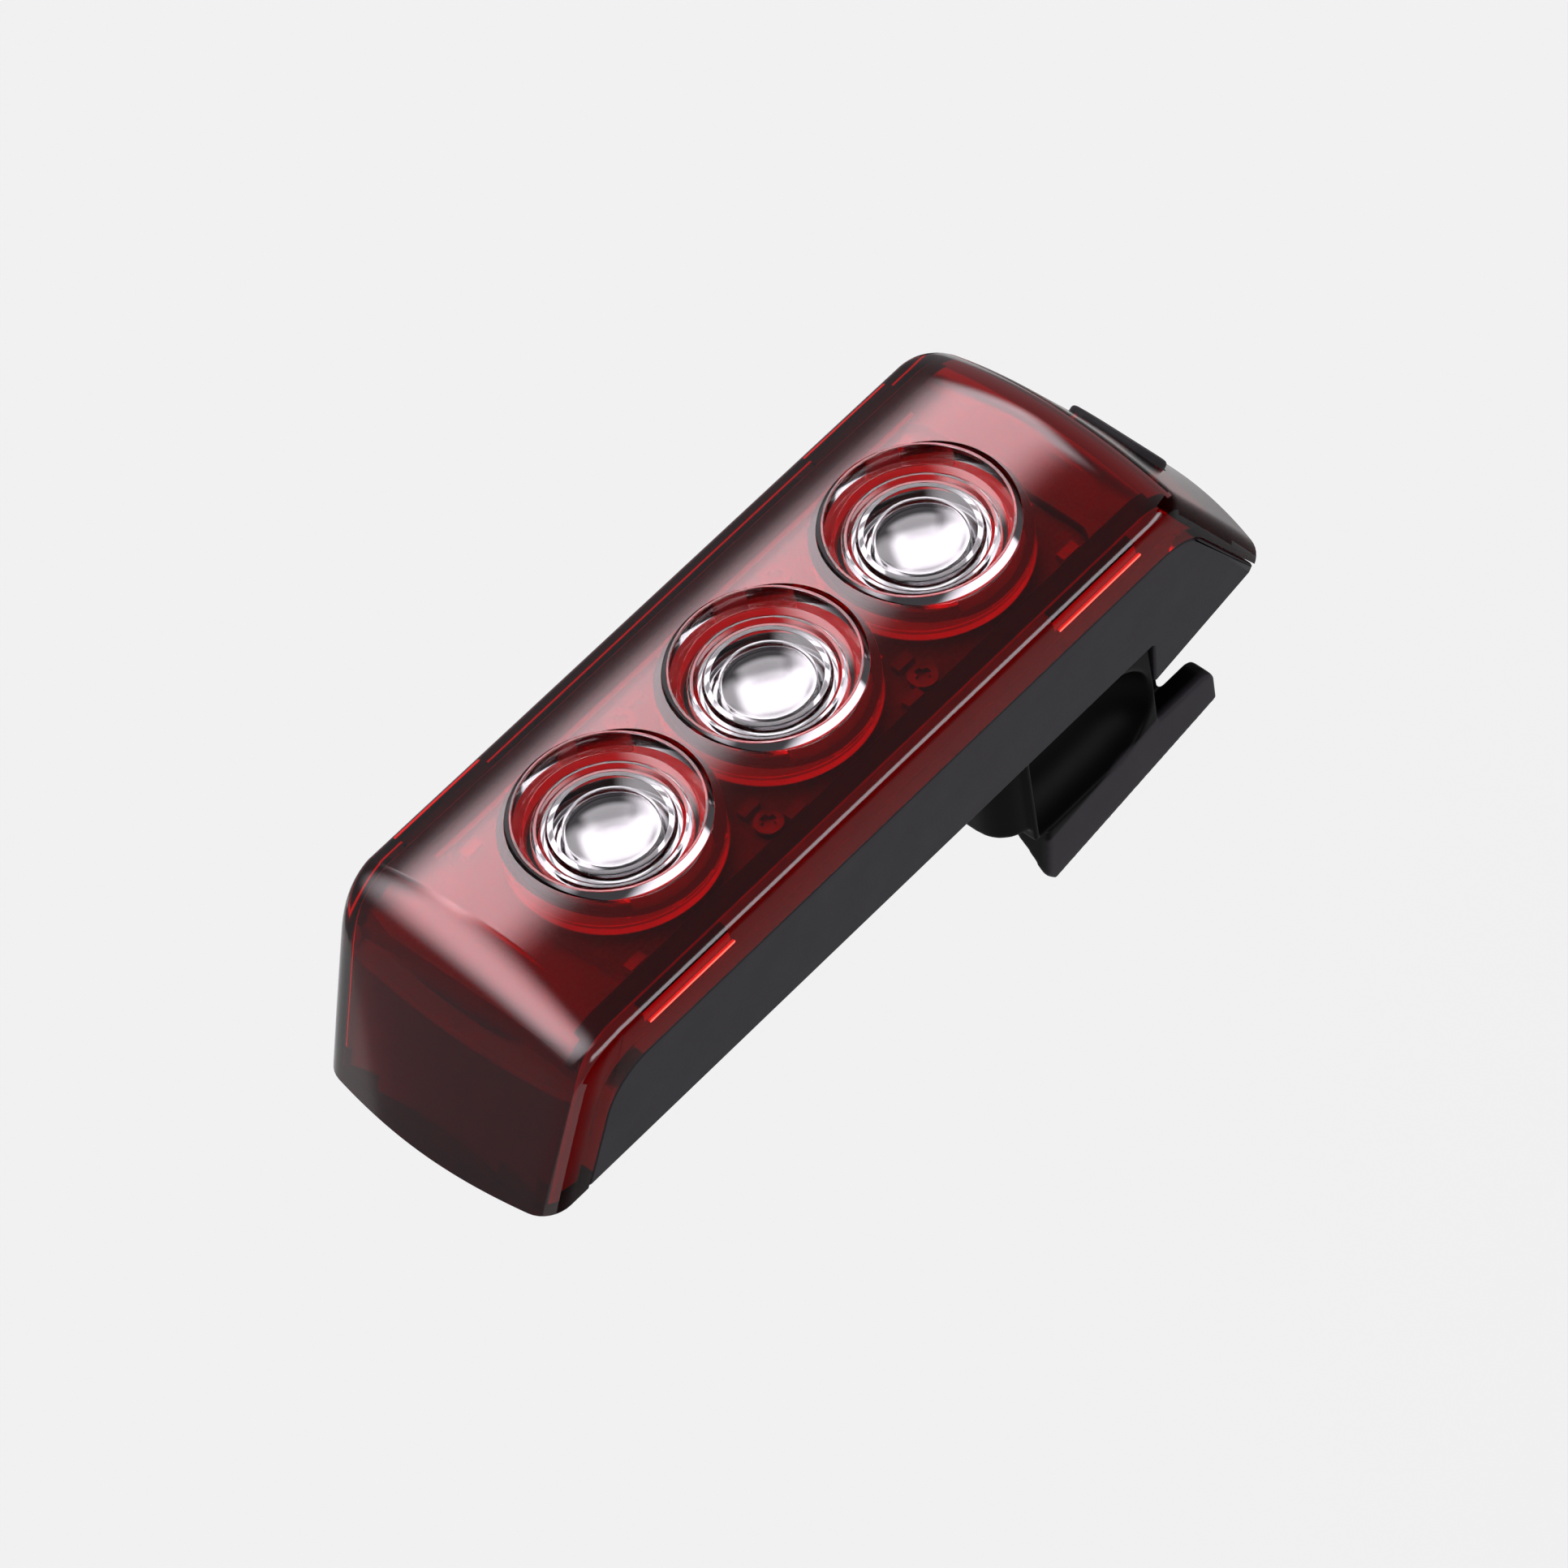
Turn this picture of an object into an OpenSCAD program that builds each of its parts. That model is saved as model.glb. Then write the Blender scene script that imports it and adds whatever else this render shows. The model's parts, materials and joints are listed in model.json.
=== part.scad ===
// Bicycle rear light: a row of clear lenses in a red cover, on a black housing with a seat post cradle
// Millimetres. x runs along the lens row towards the button, z points out of the lenses

/* [Body] */
// Distance between neighbouring lens axes
lens_pitch = 16; // [15:0.25:18]
// Near end beyond the last lens axis, measured at the back
near_over = 21.85; // [20:0.05:26]
// Far end beyond the last lens axis, measured at the back
far_over = 23.46; // [22:0.02:28]
// Width across the upper side edges
body_w = 24.06; // [23:0.02:28]
// Depth from the upper side edges' reference level to the crown
edge_z = 3.3; // [2.5:0.1:4]
// Depth from the crown to the flat back
body_h = 16.5; // [15.5:0.1:19]
// Radius of the crown across the top
crown_r = 33; // [30:0.5:45]
// Inward lean of the side walls in degrees
side_draft = 4.5; // [2:0.1:5]
// Lean of the near end face in degrees
near_lean = 21.4; // [16:0.2:26]
// Lean of the far end face in degrees
far_lean = 31; // [26:0.5:34]
// Rounding between the top and the near end
near_round = 5.8; // [4:0.1:7]
// Rounding between the top and the far end
far_round = 5; // [4:0.1:6.5]
// Rounding of the upright corners
corner_r = 4.6; // [4:0.1:5.5]
// Wall thickness of the red cover
wall = 1.6; // [1.4:0.05:1.9]

/* [Seam] */
// Depth of the seam below the crown on each side
seam_z = 7; // [6.4:0.1:8]
// Corner radius of the seam
seam_r = 5; // [3:0.1:6]
// Width of the cover's side band at the near end
near_band = 5.05; // [4.5:0.05:6]
// Width of the cover's side band at the far end
far_band = 3.13; // [2.8:0.01:4]
// Gap along the seam
seam_gap = 0.08; // [0.04:0.01:0.2]
// Gap between the cover and the tub that nests in it
nest_gap = 0.15; // [0.08:0.01:0.3]

/* [Housing] */
// Wall thickness of the inner tub
tub_wall = 1.2; // [1:0.05:1.5]
// Floor thickness
floor_t = 1.6; // [1.4:0.1:2]
// Length of the block that carries the sloped far back
block_len = 12.96; // [12:0.02:14]
// Depth of the sloped back under the far end
far_back_z = 18.28; // [17.6:0.02:19.5]
// Slope of the far back in degrees
back_slope = 12.5; // [8:0.5:15]
// Radius of the case screw bosses
case_boss_r = 3; // [2.8:0.05:3.2]

/* [Lens] */
// Outer diameter where a lens leaves the cover
lens_d = 14.44; // [13.6:0.02:14.8]
// Clearance around a lens in its bore
lens_gap = 0.1; // [0.05:0.01:0.2]
// Narrowing of the lens wall up to its rim
rim_in = 0.33; // [0.2:0.01:0.5]
// Height of the rim above the crown
rim_up = 0.08; // [0.04:0.01:0.4]
// Width of the rim's flat top
rim_w = 0.19; // [0.12:0.01:0.4]
// Width of the conical wall inside the rim
well_w = 0.55; // [0.3:0.05:0.8]
// Depth of that conical wall
well_d = 1.5; // [1:0.05:1.8]
// Radius of the raised ring
ring_r = 4.43; // [4:0.01:5]
// Width of the raised ring
ring_w = 0.4; // [0.3:0.05:0.6]
// Height of the raised ring
ring_h = 0.4; // [0.2:0.05:0.6]
// Fall of the lens floor towards the raised ring
floor_fall = 0.3; // [0.1:0.05:0.5]
// Radius of the central dome
dome_r = 3.27; // [2.8:0.01:3.6]
// Height of the central dome
dome_h = 0.85; // [0.4:0.05:1.1]
// Depth of the bore from the crown to the seat
seat_d = 2.6; // [2.4:0.05:3]
// Thickness of the flat lens seal
seal_t = 0.4; // [0.3:0.05:0.6]
// Thickness of the lens flange
flange_t = 1; // [0.8:0.05:1.3]
// Half gap between neighbouring lens flanges
flange_gap = 0.1; // [0.05:0.01:0.3]
// Height of the lens skirt on the board
skirt_h = 1; // [0.8:0.05:1.4]
// Width of the lens skirt
skirt_w = 0.7; // [0.5:0.05:0.9]
// Inset of the skirt from the flange edge
skirt_in = 1; // [0.8:0.05:1.2]
// Radius of the hollow over the emitter
hollow_r = 2.2; // [1.8:0.05:2.5]
// Height of the hollow over the emitter
hollow_h = 1.1; // [0.9:0.05:1.2]

/* [Board] */
// Thickness of the main board
board_t = 1; // [0.8:0.1:1.2]
// Width of the main board
board_w = 16.9; // [16.4:0.1:17.4]
// Board length beyond the last lens axis at each end
board_over = 8.4; // [8.1:0.05:8.7]
// Gap around the board in its frame
board_gap = 0.15; // [0.1:0.01:0.25]
// Corner radius of the board
board_r = 1.5; // [0.5:0.1:2.5]
// Side length of an emitter base
emitter_w = 3.2; // [2.6:0.1:3.4]
// Height of an emitter base
emitter_h = 0.7; // [0.5:0.05:0.8]
// Radius of an emitter dome
emitter_r = 0.9; // [0.6:0.05:1]
// Length of a small surface part
chip_l = 1.6; // [1.2:0.1:2]
// Width of a small surface part
chip_w = 0.8; // [0.6:0.1:1]
// Height of a small surface part
chip_h = 0.6; // [0.4:0.05:0.8]
// Side length of the controller
control_w = 5; // [4:0.1:6]
// Height of the controller
control_h = 0.9; // [0.6:0.05:1.1]
// Side length of the coil
coil_w = 4; // [3:0.1:5]
// Height of the coil
coil_h = 1.7; // [1.2:0.05:1.9]

/* [Frame] */
// Height of the frame edge above the board
frame_up = 0.8; // [0.4:0.05:1]
// Thickness of the ledge under the board
ledge_t = 1; // [0.8:0.05:1.2]
// Width of the ledge under the board
ledge_w = 1.2; // [0.9:0.05:1.5]
// Gap between the frame and the cover
frame_gap = 0.1; // [0.05:0.01:0.2]
// Width of the frame beyond the board at each end
frame_end = 6.2; // [6:0.05:6.4]
// Width of the two cross bars
bar_w = 5; // [4:0.1:6]
// Thickness of the gasket on the tub's rim
gasket_t = 0.6; // [0.4:0.05:0.8]

/* [Cell] */
// Length of the battery
cell_l = 36.8; // [30:0.1:37]
// Gap between the battery and the tub wall beside it
cell_side = 0.8; // [0.4:0.05:1.6]
// Thickness of the battery
cell_t = 5; // [4:0.1:5.4]
// Gap between the gasket level and the battery
cell_gap = 0.5; // [0.3:0.05:1]
// Position of the battery's near end from the middle lens
cell_x = 13; // [12.5:0.1:13.4]
// Radius of a battery lead
lead_r = 0.5; // [0.35:0.05:0.6]
// Spacing of the battery leads
lead_pitch = 2.4; // [2:0.1:3]
// Bend radius of a battery lead
lead_bend = 1.5; // [1.2:0.05:1.6]
// Depth of the battery connector
plug_h = 3; // [2.4:0.1:3.2]
// Length of the battery connector across the light
plug_w = 6; // [5:0.1:7]
// Width of the battery connector along the light
plug_l = 2.6; // [2.4:0.05:2.8]

/* [Port] */
// Distance of the charging socket from the middle lens
port_x = 20; // [19.6:0.1:20.4]
// Width of the socket shell
socket_w = 8.94; // [8.8:0.02:9.1]
// Thickness of the socket shell's oval
socket_t = 3.26; // [3.1:0.02:3.4]
// Sheet thickness of the socket shell
socket_wall = 0.3; // [0.2:0.02:0.4]
// Depth of the socket's mouth
socket_depth = 5; // [4.5:0.1:6]
// Width of the socket's tongue
tongue_w = 6.7; // [6.4:0.05:6.9]
// Thickness of the socket's tongue
tongue_t = 0.7; // [0.6:0.02:0.8]
// Setback of the tongue from the mouth
tongue_in = 0.6; // [0.4:0.05:0.9]
// Clearance of the port opening around the socket
port_gap = 0.35; // [0.35:0.01:0.45]
// Height of the thick floor around the port
port_boss = 3; // [2.6:0.1:3.4]
// Length of the port cover from its hinge
flap_l = 8.8; // [8.4:0.1:9.4]
// Width of the port cover
flap_w = 12.4; // [11.6:0.1:13]
// Thickness of the port cover
flap_t = 1; // [0.8:0.05:1.1]
// Distance from the socket to the hinge
flap_reach = 4.6; // [4.3:0.05:4.9]
// Radius of the hinge bead
bead_r = 0.6; // [0.5:0.02:0.66]
// Running gap around the port cover and its bead
flap_gap = 0.2; // [0.18:0.01:0.22]
// Height of the sealing plug on the port cover
seal_h = 0.9; // [0.6:0.05:1]
// Gap from the sealing plug to the socket's mouth
mouth_gap = 0.2; // [0.1:0.02:0.3]

/* [Button] */
// Depth of the button below the crown
button_z = 10.5; // [10:0.1:11]
// Width of the button
button_w = 8.5; // [7.5:0.1:9]
// Height of the button along the end face
button_h = 4.2; // [3.6:0.1:4.6]
// Height of the button above the end face
button_up = 0.4; // [0.2:0.05:0.8]
// Travel of the button
button_travel = 0.5; // [0.3:0.05:0.55]
// Running gap around the button
button_gap = 0.15; // [0.1:0.01:0.25]
// Width of the button's inner flange
collar_w = 0.75; // [0.5:0.05:0.9]
// Thickness of the button's inner flange
collar_t = 0.6; // [0.4:0.05:0.7]
// Gap from the cover to the button's inner flange
collar_gap = 0.5; // [0.45:0.01:0.6]
// Radius of the button stem
stem_r = 1.3; // [1:0.05:1.5]
// Thickness of the wall behind the button
guide_t = 0.8; // [0.6:0.05:1]
// Side length of the switch
switch_w = 4.5; // [4:0.1:4.8]
// Height of the switch
switch_h = 1.5; // [1.3:0.05:1.6]
// Radius of the switch plunger
plunger_r = 0.9; // [0.7:0.05:1]
// Length of the plunger inside the switch at rest
plunger_in = 0.6; // [0.4:0.05:0.7]
// Thickness of the switch board
switch_board_t = 0.8; // [0.6:0.05:0.9]
// Width of the switch board
switch_board_w = 7.6; // [7:0.1:8]
// Height of the switch board
switch_board_h = 6.4; // [6:0.1:6.8]
// Radius of the two posts under the switch board
switch_post_r = 0.7; // [0.5:0.05:0.75]
// Width of the flat switch cable
ribbon_w = 4; // [3:0.1:5]
// Thickness of the flat switch cable
ribbon_t = 0.2; // [0.15:0.01:0.25]

/* [Light guides] */
// Length of a side light guide
guide_l = 8.6; // [7:0.1:9.6]
// Height of a side light guide
guide_h = 0.8; // [0.6:0.05:1]
// Depth of a side light guide in the cover's wall
guide_d = 0.8; // [0.5:0.05:0.9]
// Depth of the side light guides below the crown
guide_z = 4.1; // [3.9:0.05:4.4]
// Distance of the side light guides from the middle of the lens row
guide_x = 16.8; // [16:0.1:17.4]
// Clearance around a side light guide
guide_fit = 0.03; // [0.02:0.01:0.06]

/* [Screws] */
// Shank radius of the case screws
case_screw_r = 1; // [0.8:0.05:1.1]
// Head radius of the case screws
case_head_r = 1.9; // [1.7:0.05:2]
// Head height of the case screws
case_head_h = 1.4; // [1.2:0.05:1.6]
// Wall of the housing under a case screw head
case_seat_t = 3.4; // [3:0.1:4]
// Depth of the case screws in the inner frame
case_grip = 2.2; // [1.8:0.1:2.4]
// Gap from the board's end to a case screw head
case_off = 1.45; // [1:0.05:2]
// Distance of the case screws from the upper side edges
case_side = 4.63; // [4.4:0.01:5.2]
// Shank radius of the board screws
board_screw_r = 0.6; // [0.5:0.05:0.7]
// Head radius of the board screws
board_head_r = 1.1; // [0.9:0.05:1.25]
// Head height of the board screws
board_head_h = 0.6; // [0.4:0.05:0.7]
// Distance of the board screws from the middle line
board_screw_y = 6.9; // [6.7:0.05:7.1]
// Shank radius of the cradle screws
foot_screw_r = 1.25; // [1:0.05:1.4]
// Head radius of the cradle screws
foot_head_r = 2.2; // [2:0.05:2.3]
// Head height of the cradle screws
foot_head_h = 1.6; // [1.2:0.05:1.8]
// Depth of the cradle screw seats below the back
foot_seat_d = 3.4; // [3:0.1:4]
// Spacing of the cradle screws
foot_screw_pitch = 6.4; // [5.6:0.1:7]
// Height of the cradle screw bosses on the floor
foot_boss_h = 1; // [0.6:0.1:1.3]
// Radius of the cradle screw bosses
foot_boss_r = 2.6; // [2.3:0.1:3]
// Clearance around every screw shank and head
screw_gap = 0.1; // [0.05:0.01:0.15]
// Width of the driver slots
slot_w = 0.5; // [0.4:0.02:0.6]

/* [Cradle] */
// Radius of the seat post that the cradle sits on
post_seat_r = 12.7; // [12.5:0.05:13]
// Slope of the seat post against the lens row in degrees
post_slope = 8.8; // [7:0.2:10]
// Depth of the cradle's crown below the lens crown, at the middle of the cradle
cradle_z = 25.18; // [24.8:0.02:26]
// Distance of the middle of the cradle from the middle lens
cradle_x = 20.35; // [20:0.05:20.6]
// Half width of the neck at the housing
neck_y = 10.6; // [10.2:0.05:10.8]
// Radius of the round strap channels
channel_r = 4.9; // [4.6:0.02:5]
// Distance from the bottom of one strap channel to the middle
channel_y = 7.5; // [6.8:0.1:8]
// Depth of the strap channels' axis below the crown
channel_z = 21.4; // [21.2:0.05:21.6]
// Round far end of the strap channels, as the centre's distance from the middle lens
channel_x = 21.6; // [20.5:0.1:21.8]
// Half distance between the two fingers
finger_y = 8.6; // [8:0.1:8.8]
// Length of the neck's heel under the sloped far back
heel_l = 2.2; // [1.5:0.1:3]
// Distance of the neck's near end from the middle lens
neck_x = 10.4; // [10:0.1:11]
// Length of the near end stop
stop_l = 3.1; // [2.6:0.1:3.4]
// Half width of the near end stop
stop_y = 10.2; // [9.8:0.1:10.4]
// Corner radius of the near end stop
stop_r = 2.75; // [2:0.05:3]
// Depth of the near end stop
stop_z = 24.7; // [23.5:0.1:25]
// Depth of the strap fins' upper edge
fin_z = 25.5; // [25:0.05:26]
// Half width across the strap fins
fin_y = 10.65; // [10.55:0.01:11]
// Width of the blunt lower edge of a fin
fin_tip = 0.07; // [0.05:0.01:0.2]
// Distance of the fins' near end from the middle lens
fin_x = 14.3; // [13.9:0.05:14.6]
// Length of the strap fins
fin_l = 18.1; // [17:0.1:19]
// Corner radius of the strap fins
fin_r = 1; // [0.5:0.05:1.4]

/* [Hidden] */
$fn = 72;
crown_fn = 180;
reach = 60;
over = 0.5;
skin = 0.4;
deep = crown_r - 3;
turn = 170;
prism_up = 4;
prism_down = 28;
end_over = 0.2;
corner_nib = 0.05;
corner_tip = 2;
corner_shift = 0.5;
near_len = lens_pitch + near_over;
far_len = lens_pitch + far_over;
lens_r = lens_d / 2;
flange_r = lens_pitch / 2 - flange_gap;
bore_r = lens_r + lens_gap;
shell_in = wall + nest_gap;
tub_in = shell_in + tub_wall;
frame_in = wall + frame_gap;
z_seat = -seat_d;
z_flange = z_seat - seal_t;
z_skirt = z_flange - flange_t;
z_board = z_skirt - skirt_h;
z_under = z_board - board_t;
z_frame = z_under - ledge_t;
z_rim = z_frame - gasket_t;
z_cell = z_rim - cell_gap;
z_floor = floor_t - body_h;
cell_draft = (z_cell - cell_t + edge_z) * tan(side_draft);
cell_w = 2 * (body_w / 2 + cell_draft - tub_in / cos(side_draft) - cell_side);
board_len = 2 * (lens_pitch + board_over);
frame_len = board_len + 2 * (board_gap + frame_end);
window_x = board_len / 2 - ledge_w;
window_y = board_w / 2 - ledge_w;
bar_x = lens_pitch / 2;
case_x = board_len / 2 + case_head_r + case_off;
case_y = body_w / 2 - case_side;
case_seat_z = z_rim - case_seat_t;
block_x = far_len - block_len;
neck_end = block_x - seam_gap;
foot_x = (neck_x + stop_l + neck_end) / 2;
foot_seat_z = -body_h - foot_seat_d;
face_x = far_len - (body_h - button_z) * tan(far_lean);
collar_top = -(wall + collar_gap);
collar_base = collar_top - collar_t;
pocket_z = collar_base - button_travel - button_gap;
guide_base = pocket_z - guide_t;
switch_top = guide_base - button_gap;
switch_base = switch_top - switch_h;
switch_back = switch_base - switch_board_t;
stem_end = switch_top + button_travel + button_gap;
guide_block_w = 13;
guide_block_h = 8;
pocket_x = tub_wall;
flap_rest = 0.05;
flap_top = flap_t - body_h;
socket_mouth = flap_top + seal_h + mouth_gap;
bead_x = -(port_x + flap_reach);
bead_z = bead_r - body_h;
port_rim = 1.6;
lead_run = 1.1;
lead_x = -(cell_x + lead_bend + lead_run);
z_plug = z_under - plug_h;
post_fall = tan(post_slope);
fin_sag = (post_seat_r - sqrt(pow(post_seat_r, 2) - pow(fin_y - fin_tip, 2))) / cos(post_slope);
axis_z = -(cradle_z + post_seat_r / cos(post_slope));
seat_in = 0.2;
seat_x = fin_x + fin_l - seat_in;
mount_at = [seat_x, 0, axis_z + (seat_x - cradle_x) * post_fall];

function half_w(z) = body_w / 2 + (z + edge_z) * tan(side_draft);
function near_at(z) = -near_len + (z + body_h) * tan(near_lean);
function far_at(z) = far_len - (z + body_h) * tan(far_lean);
function corner_y(z) = (corner_r - corner_nib) / cos(side_draft) - half_w(z);
function near_corner(z) = [near_at(z) - end_over + corner_r / cos(near_lean), corner_y(z), z];
function far_corner(z) = [far_at(z) + end_over - corner_r / cos(far_lean), corner_y(z), z];
function back_at(x) = -far_back_z - (far_len - x) * tan(back_slope);
function crown_at(x) = -cradle_z + (x - cradle_x) * post_fall;
function face_pt(down, out) = [
  face_x + out * cos(far_lean) + down * sin(far_lean),
  -button_z + out * sin(far_lean) - down * cos(far_lean)
];

// Shared frame: the origin lies on the seat post axis at the far end of the cradle
module placed() {
  translate(-mount_at) children();
}

module across(w = 2 * reach) {
  rotate([90, 0, 0]) linear_extrude(height = w, center = true) children();
}

module slab(z0, z1) {
  translate([-reach, -reach, z0]) cube([2 * reach, 2 * reach, z1 - z0]);
}

module block(x0, x1, y, z0, z1) {
  translate([x0, -y, z0]) cube([x1 - x0, 2 * y, z1 - z0]);
}

module oval(w, t) {
  square([t, w - t], center = true);
  for (s = [-1, 1]) translate([0, s * (w - t) / 2]) circle(t / 2);
}

// Local frame on the far end face: z points out of it, x runs down it
module on_face() {
  translate([face_x, 0, -button_z]) rotate([0, 90 - far_lean, 0]) children();
}

// Corner piece outside an arc of radius r about c, between the directions a0 and a1
module round_off(c, r, a0, a1) {
  am = (a0 + a1) / 2;
  translate(c) difference() {
    polygon([[0, 0], for (a = [a0, am, a1]) 2 * r * [cos(a), sin(a)]]);
    circle(r);
  }
}

// Side outline with leaning ends and rounded upper corners, inset by i
module end_profile(top, nx, fx, rn, rf, i) {
  tn = tan(near_lean);
  tf = tan(far_lean);
  n_in = nx + i / cos(near_lean);
  f_in = fx - i / cos(far_lean);
  nc = [nx + (body_h + top) * tn + rn * tan(45 - near_lean / 2), top - rn];
  fc = [fx - (body_h + top) * tf - rf * tan(45 - far_lean / 2), top - rf];
  difference() {
    polygon([
      [n_in - (deep - body_h) * tn, -deep],
      [n_in + (body_h + top - i) * tn, top - i],
      [f_in - (body_h + top - i) * tf, top - i],
      [f_in + (deep - body_h) * tf, -deep]
    ]);
    round_off(nc, rn - i, 90, 180 - near_lean);
    round_off(fc, rf - i, 90, far_lean);
  }
}

// The side outline turned about the crown axis gives the crown and the bowed ends
module crown_turn(i) {
  translate([0, 0, -crown_r])
    rotate([0, -90, 0])
      rotate([0, 0, -turn / 2])
        rotate_extrude(angle = turn, $fn = crown_fn)
          translate([crown_r, 0])
            rotate(-90)
              end_profile(0, -near_len, far_len, near_round, far_round, i);
}

module side_wedge(i) {
  rotate([90, 0, 90])
    linear_extrude(height = 2 * reach, center = true)
      polygon([for (p = [[-1, prism_up], [1, prism_up], [1, -prism_down], [-1, -prism_down]])
        [p[0] * (half_w(p[1]) - i / cos(side_draft)), p[1]]]);
}

// What is cut away outside a rounded upright corner on the -y side, with its axis at p
module corner_cut(p, lean, sx) {
  c = 2 * corner_r;
  translate(p)
    rotate([side_draft, lean, 0])
      linear_extrude(height = prism_up + prism_down)
        difference() {
          translate([sx < 0 ? -c : 0, -c]) square([c, c]);
          circle(corner_r);
        }
}

module body_form(i) {
  intersection() {
    crown_turn(i);
    side_wedge(i);
  }
}

module outer_form() {
  difference() {
    body_form(0);
    for (s = [0, 1]) mirror([0, s, 0]) {
      corner_cut(near_corner(-prism_down) + [corner_shift, 0, 0], near_lean - corner_tip, -1);
      corner_cut(far_corner(-prism_down), -far_lean, 1);
    }
  }
}

module back_side() {
  polygon([
    [-reach, reach],
    [reach, reach],
    [reach, back_at(reach)],
    [block_x, back_at(block_x)],
    [block_x, -body_h],
    [-reach, -body_h]
  ]);
}

module seam(i) {
  end_profile(-seam_z, near_band - near_len, far_len - far_band, seam_r, seam_r, i);
}

module at_lenses() {
  for (k = [-1:1]) translate([k * lens_pitch, 0, 0]) children();
}

module at_case_screws() {
  for (sx = [-1, 1], sy = [-1, 1]) translate([sx * case_x, sy * case_y, 0]) children();
}

module at_foot_screws() {
  for (s = [-1, 1]) translate([foot_x + s * foot_screw_pitch / 2, 0, 0]) children();
}

module at_board_screws() {
  for (sx = [-1, 1], sy = [-1, 1]) translate([sx * bar_x, sy * board_screw_y, 0]) children();
}

module guide_bar(extra, inside) {
  y0 = half_w(-guide_z) - wall;
  for (sx = [-1, 1], sy = [-1, 1])
    translate([sx * (guide_x + guide_l / 2), sy * (y0 + (guide_d - inside) / 2), -guide_z])
      cube([guide_l + 2 * extra, guide_d + inside + 2 * extra, guide_h + 2 * extra], center = true);
}

module lens_cover() color([0.55, 0.04, 0.06, 0.6]) placed() difference() {
  union() {
    difference() {
      intersection() {
        outer_form();
        across() back_side();
      }
      body_form(wall);
      across() seam(0);
      on_face()
        translate([0, 0, -2 * wall])
          linear_extrude(height = 3 * wall)
            oval(button_w + 2 * button_gap, button_h + 2 * button_gap);
    }
    intersection() {
      body_form(skin);
      at_lenses() translate([0, 0, z_seat]) cylinder(h = seat_d, r = flange_r);
    }
  }
  at_lenses() translate([0, 0, z_seat - over]) cylinder(h = seat_d + 2 * over, r = bore_r);
  guide_bar(guide_fit, over);
}

module rear_housing() color([0.1, 0.1, 0.11]) placed() difference() {
  union() {
    difference() {
      union() {
        difference() {
          intersection() {
            outer_form();
            across() intersection() {
              seam(seam_gap);
              back_side();
            }
          }
          intersection() {
            body_form(shell_in);
            slab(z_rim, reach);
          }
        }
        intersection() {
          body_form(shell_in);
          across() back_side();
          slab(-reach, z_rim);
        }
      }
      intersection() {
        body_form(tub_in);
        slab(z_floor, reach);
      }
      block(block_x + pocket_x, face_pt(switch_board_h / 2, guide_base)[0], switch_board_w / 2 + skin,
            face_pt(switch_board_h / 2, switch_back)[1] - skin, z_floor + over);
    }
    intersection() {
      body_form(shell_in);
      union() {
        at_case_screws() translate([0, 0, -body_h]) cylinder(h = body_h + z_rim, r = case_boss_r);
        at_foot_screws() translate([0, 0, -body_h]) cylinder(h = floor_t + foot_boss_h, r = foot_boss_r);
        block(bead_x - port_rim, bead_x + flap_l + port_rim, flap_w / 2 + flap_gap + skin,
              -body_h, port_boss - body_h);
        on_face() {
          translate([-guide_block_h / 2, -guide_block_w / 2, guide_base])
            cube([guide_block_h, guide_block_w, -guide_base - wall]);
          for (s = [-1, 1])
            translate([0, s * (switch_w / 2 + switch_post_r + screw_gap), switch_base])
              cylinder(h = guide_base - switch_base + over, r = switch_post_r);
        }
      }
    }
  }
  at_case_screws() {
    translate([0, 0, -reach]) cylinder(h = reach, r = case_screw_r + screw_gap);
    translate([0, 0, case_seat_z - reach]) cylinder(h = reach, r = case_head_r + screw_gap);
  }
  at_foot_screws() translate([0, 0, -body_h - over]) cylinder(h = body_h, r = foot_screw_r);
  translate([-port_x, 0, -body_h - over])
    linear_extrude(height = port_boss + 2 * over)
      oval(socket_w + 2 * port_gap, socket_t + 2 * port_gap);
  block(bead_x, bead_x + flap_l + flap_gap, flap_w / 2 + flap_gap, -body_h - over, flap_top + flap_rest);
  block(bead_x - bead_r - flap_gap, bead_x + over, flap_w / 2 + flap_gap, -body_h - over, bead_z);
  translate([bead_x, 0, bead_z]) rotate([90, 0, 0])
    cylinder(h = flap_w + 2 * flap_gap, r = bead_r + flap_gap, center = true);
  on_face() {
    translate([0, 0, pocket_z])
      linear_extrude(height = -pocket_z)
        oval(button_w + 2 * (collar_w + button_gap), button_h + 2 * (collar_w + button_gap));
    translate([0, 0, guide_base - over]) cylinder(h = 2 * guide_t + over, r = stem_r + button_gap);
  }
}

module stop_plan() {
  translate([neck_x + stop_r, -stop_y]) square([stop_l - stop_r, 2 * stop_y]);
  translate([neck_x, stop_r - stop_y]) square([stop_l, 2 * (stop_y - stop_r)]);
  for (s = [-1, 1]) translate([neck_x + stop_r, s * (stop_y - stop_r)]) circle(stop_r);
}

module fin_side() {
  x1 = fin_x + fin_l;
  polygon([
    [fin_x, -fin_z],
    [x1 - fin_r, -fin_z],
    [x1 - fin_r / 3, -fin_z - fin_r / 3],
    [x1, -fin_z - fin_r],
    [x1, crown_at(x1) - fin_sag],
    [fin_x, crown_at(fin_x) - fin_sag],
    [fin_x - 2 * fin_r / 3, crown_at(fin_x) - fin_sag + fin_r]
  ]);
}

module heel_side() {
  x1 = neck_end + heel_l;
  polygon([
    [neck_end - over, back_at(neck_end) - seam_gap],
    [x1, back_at(x1) - seam_gap],
    [x1, -fin_z - over],
    [neck_end - over, -fin_z - over]
  ]);
}

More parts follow.
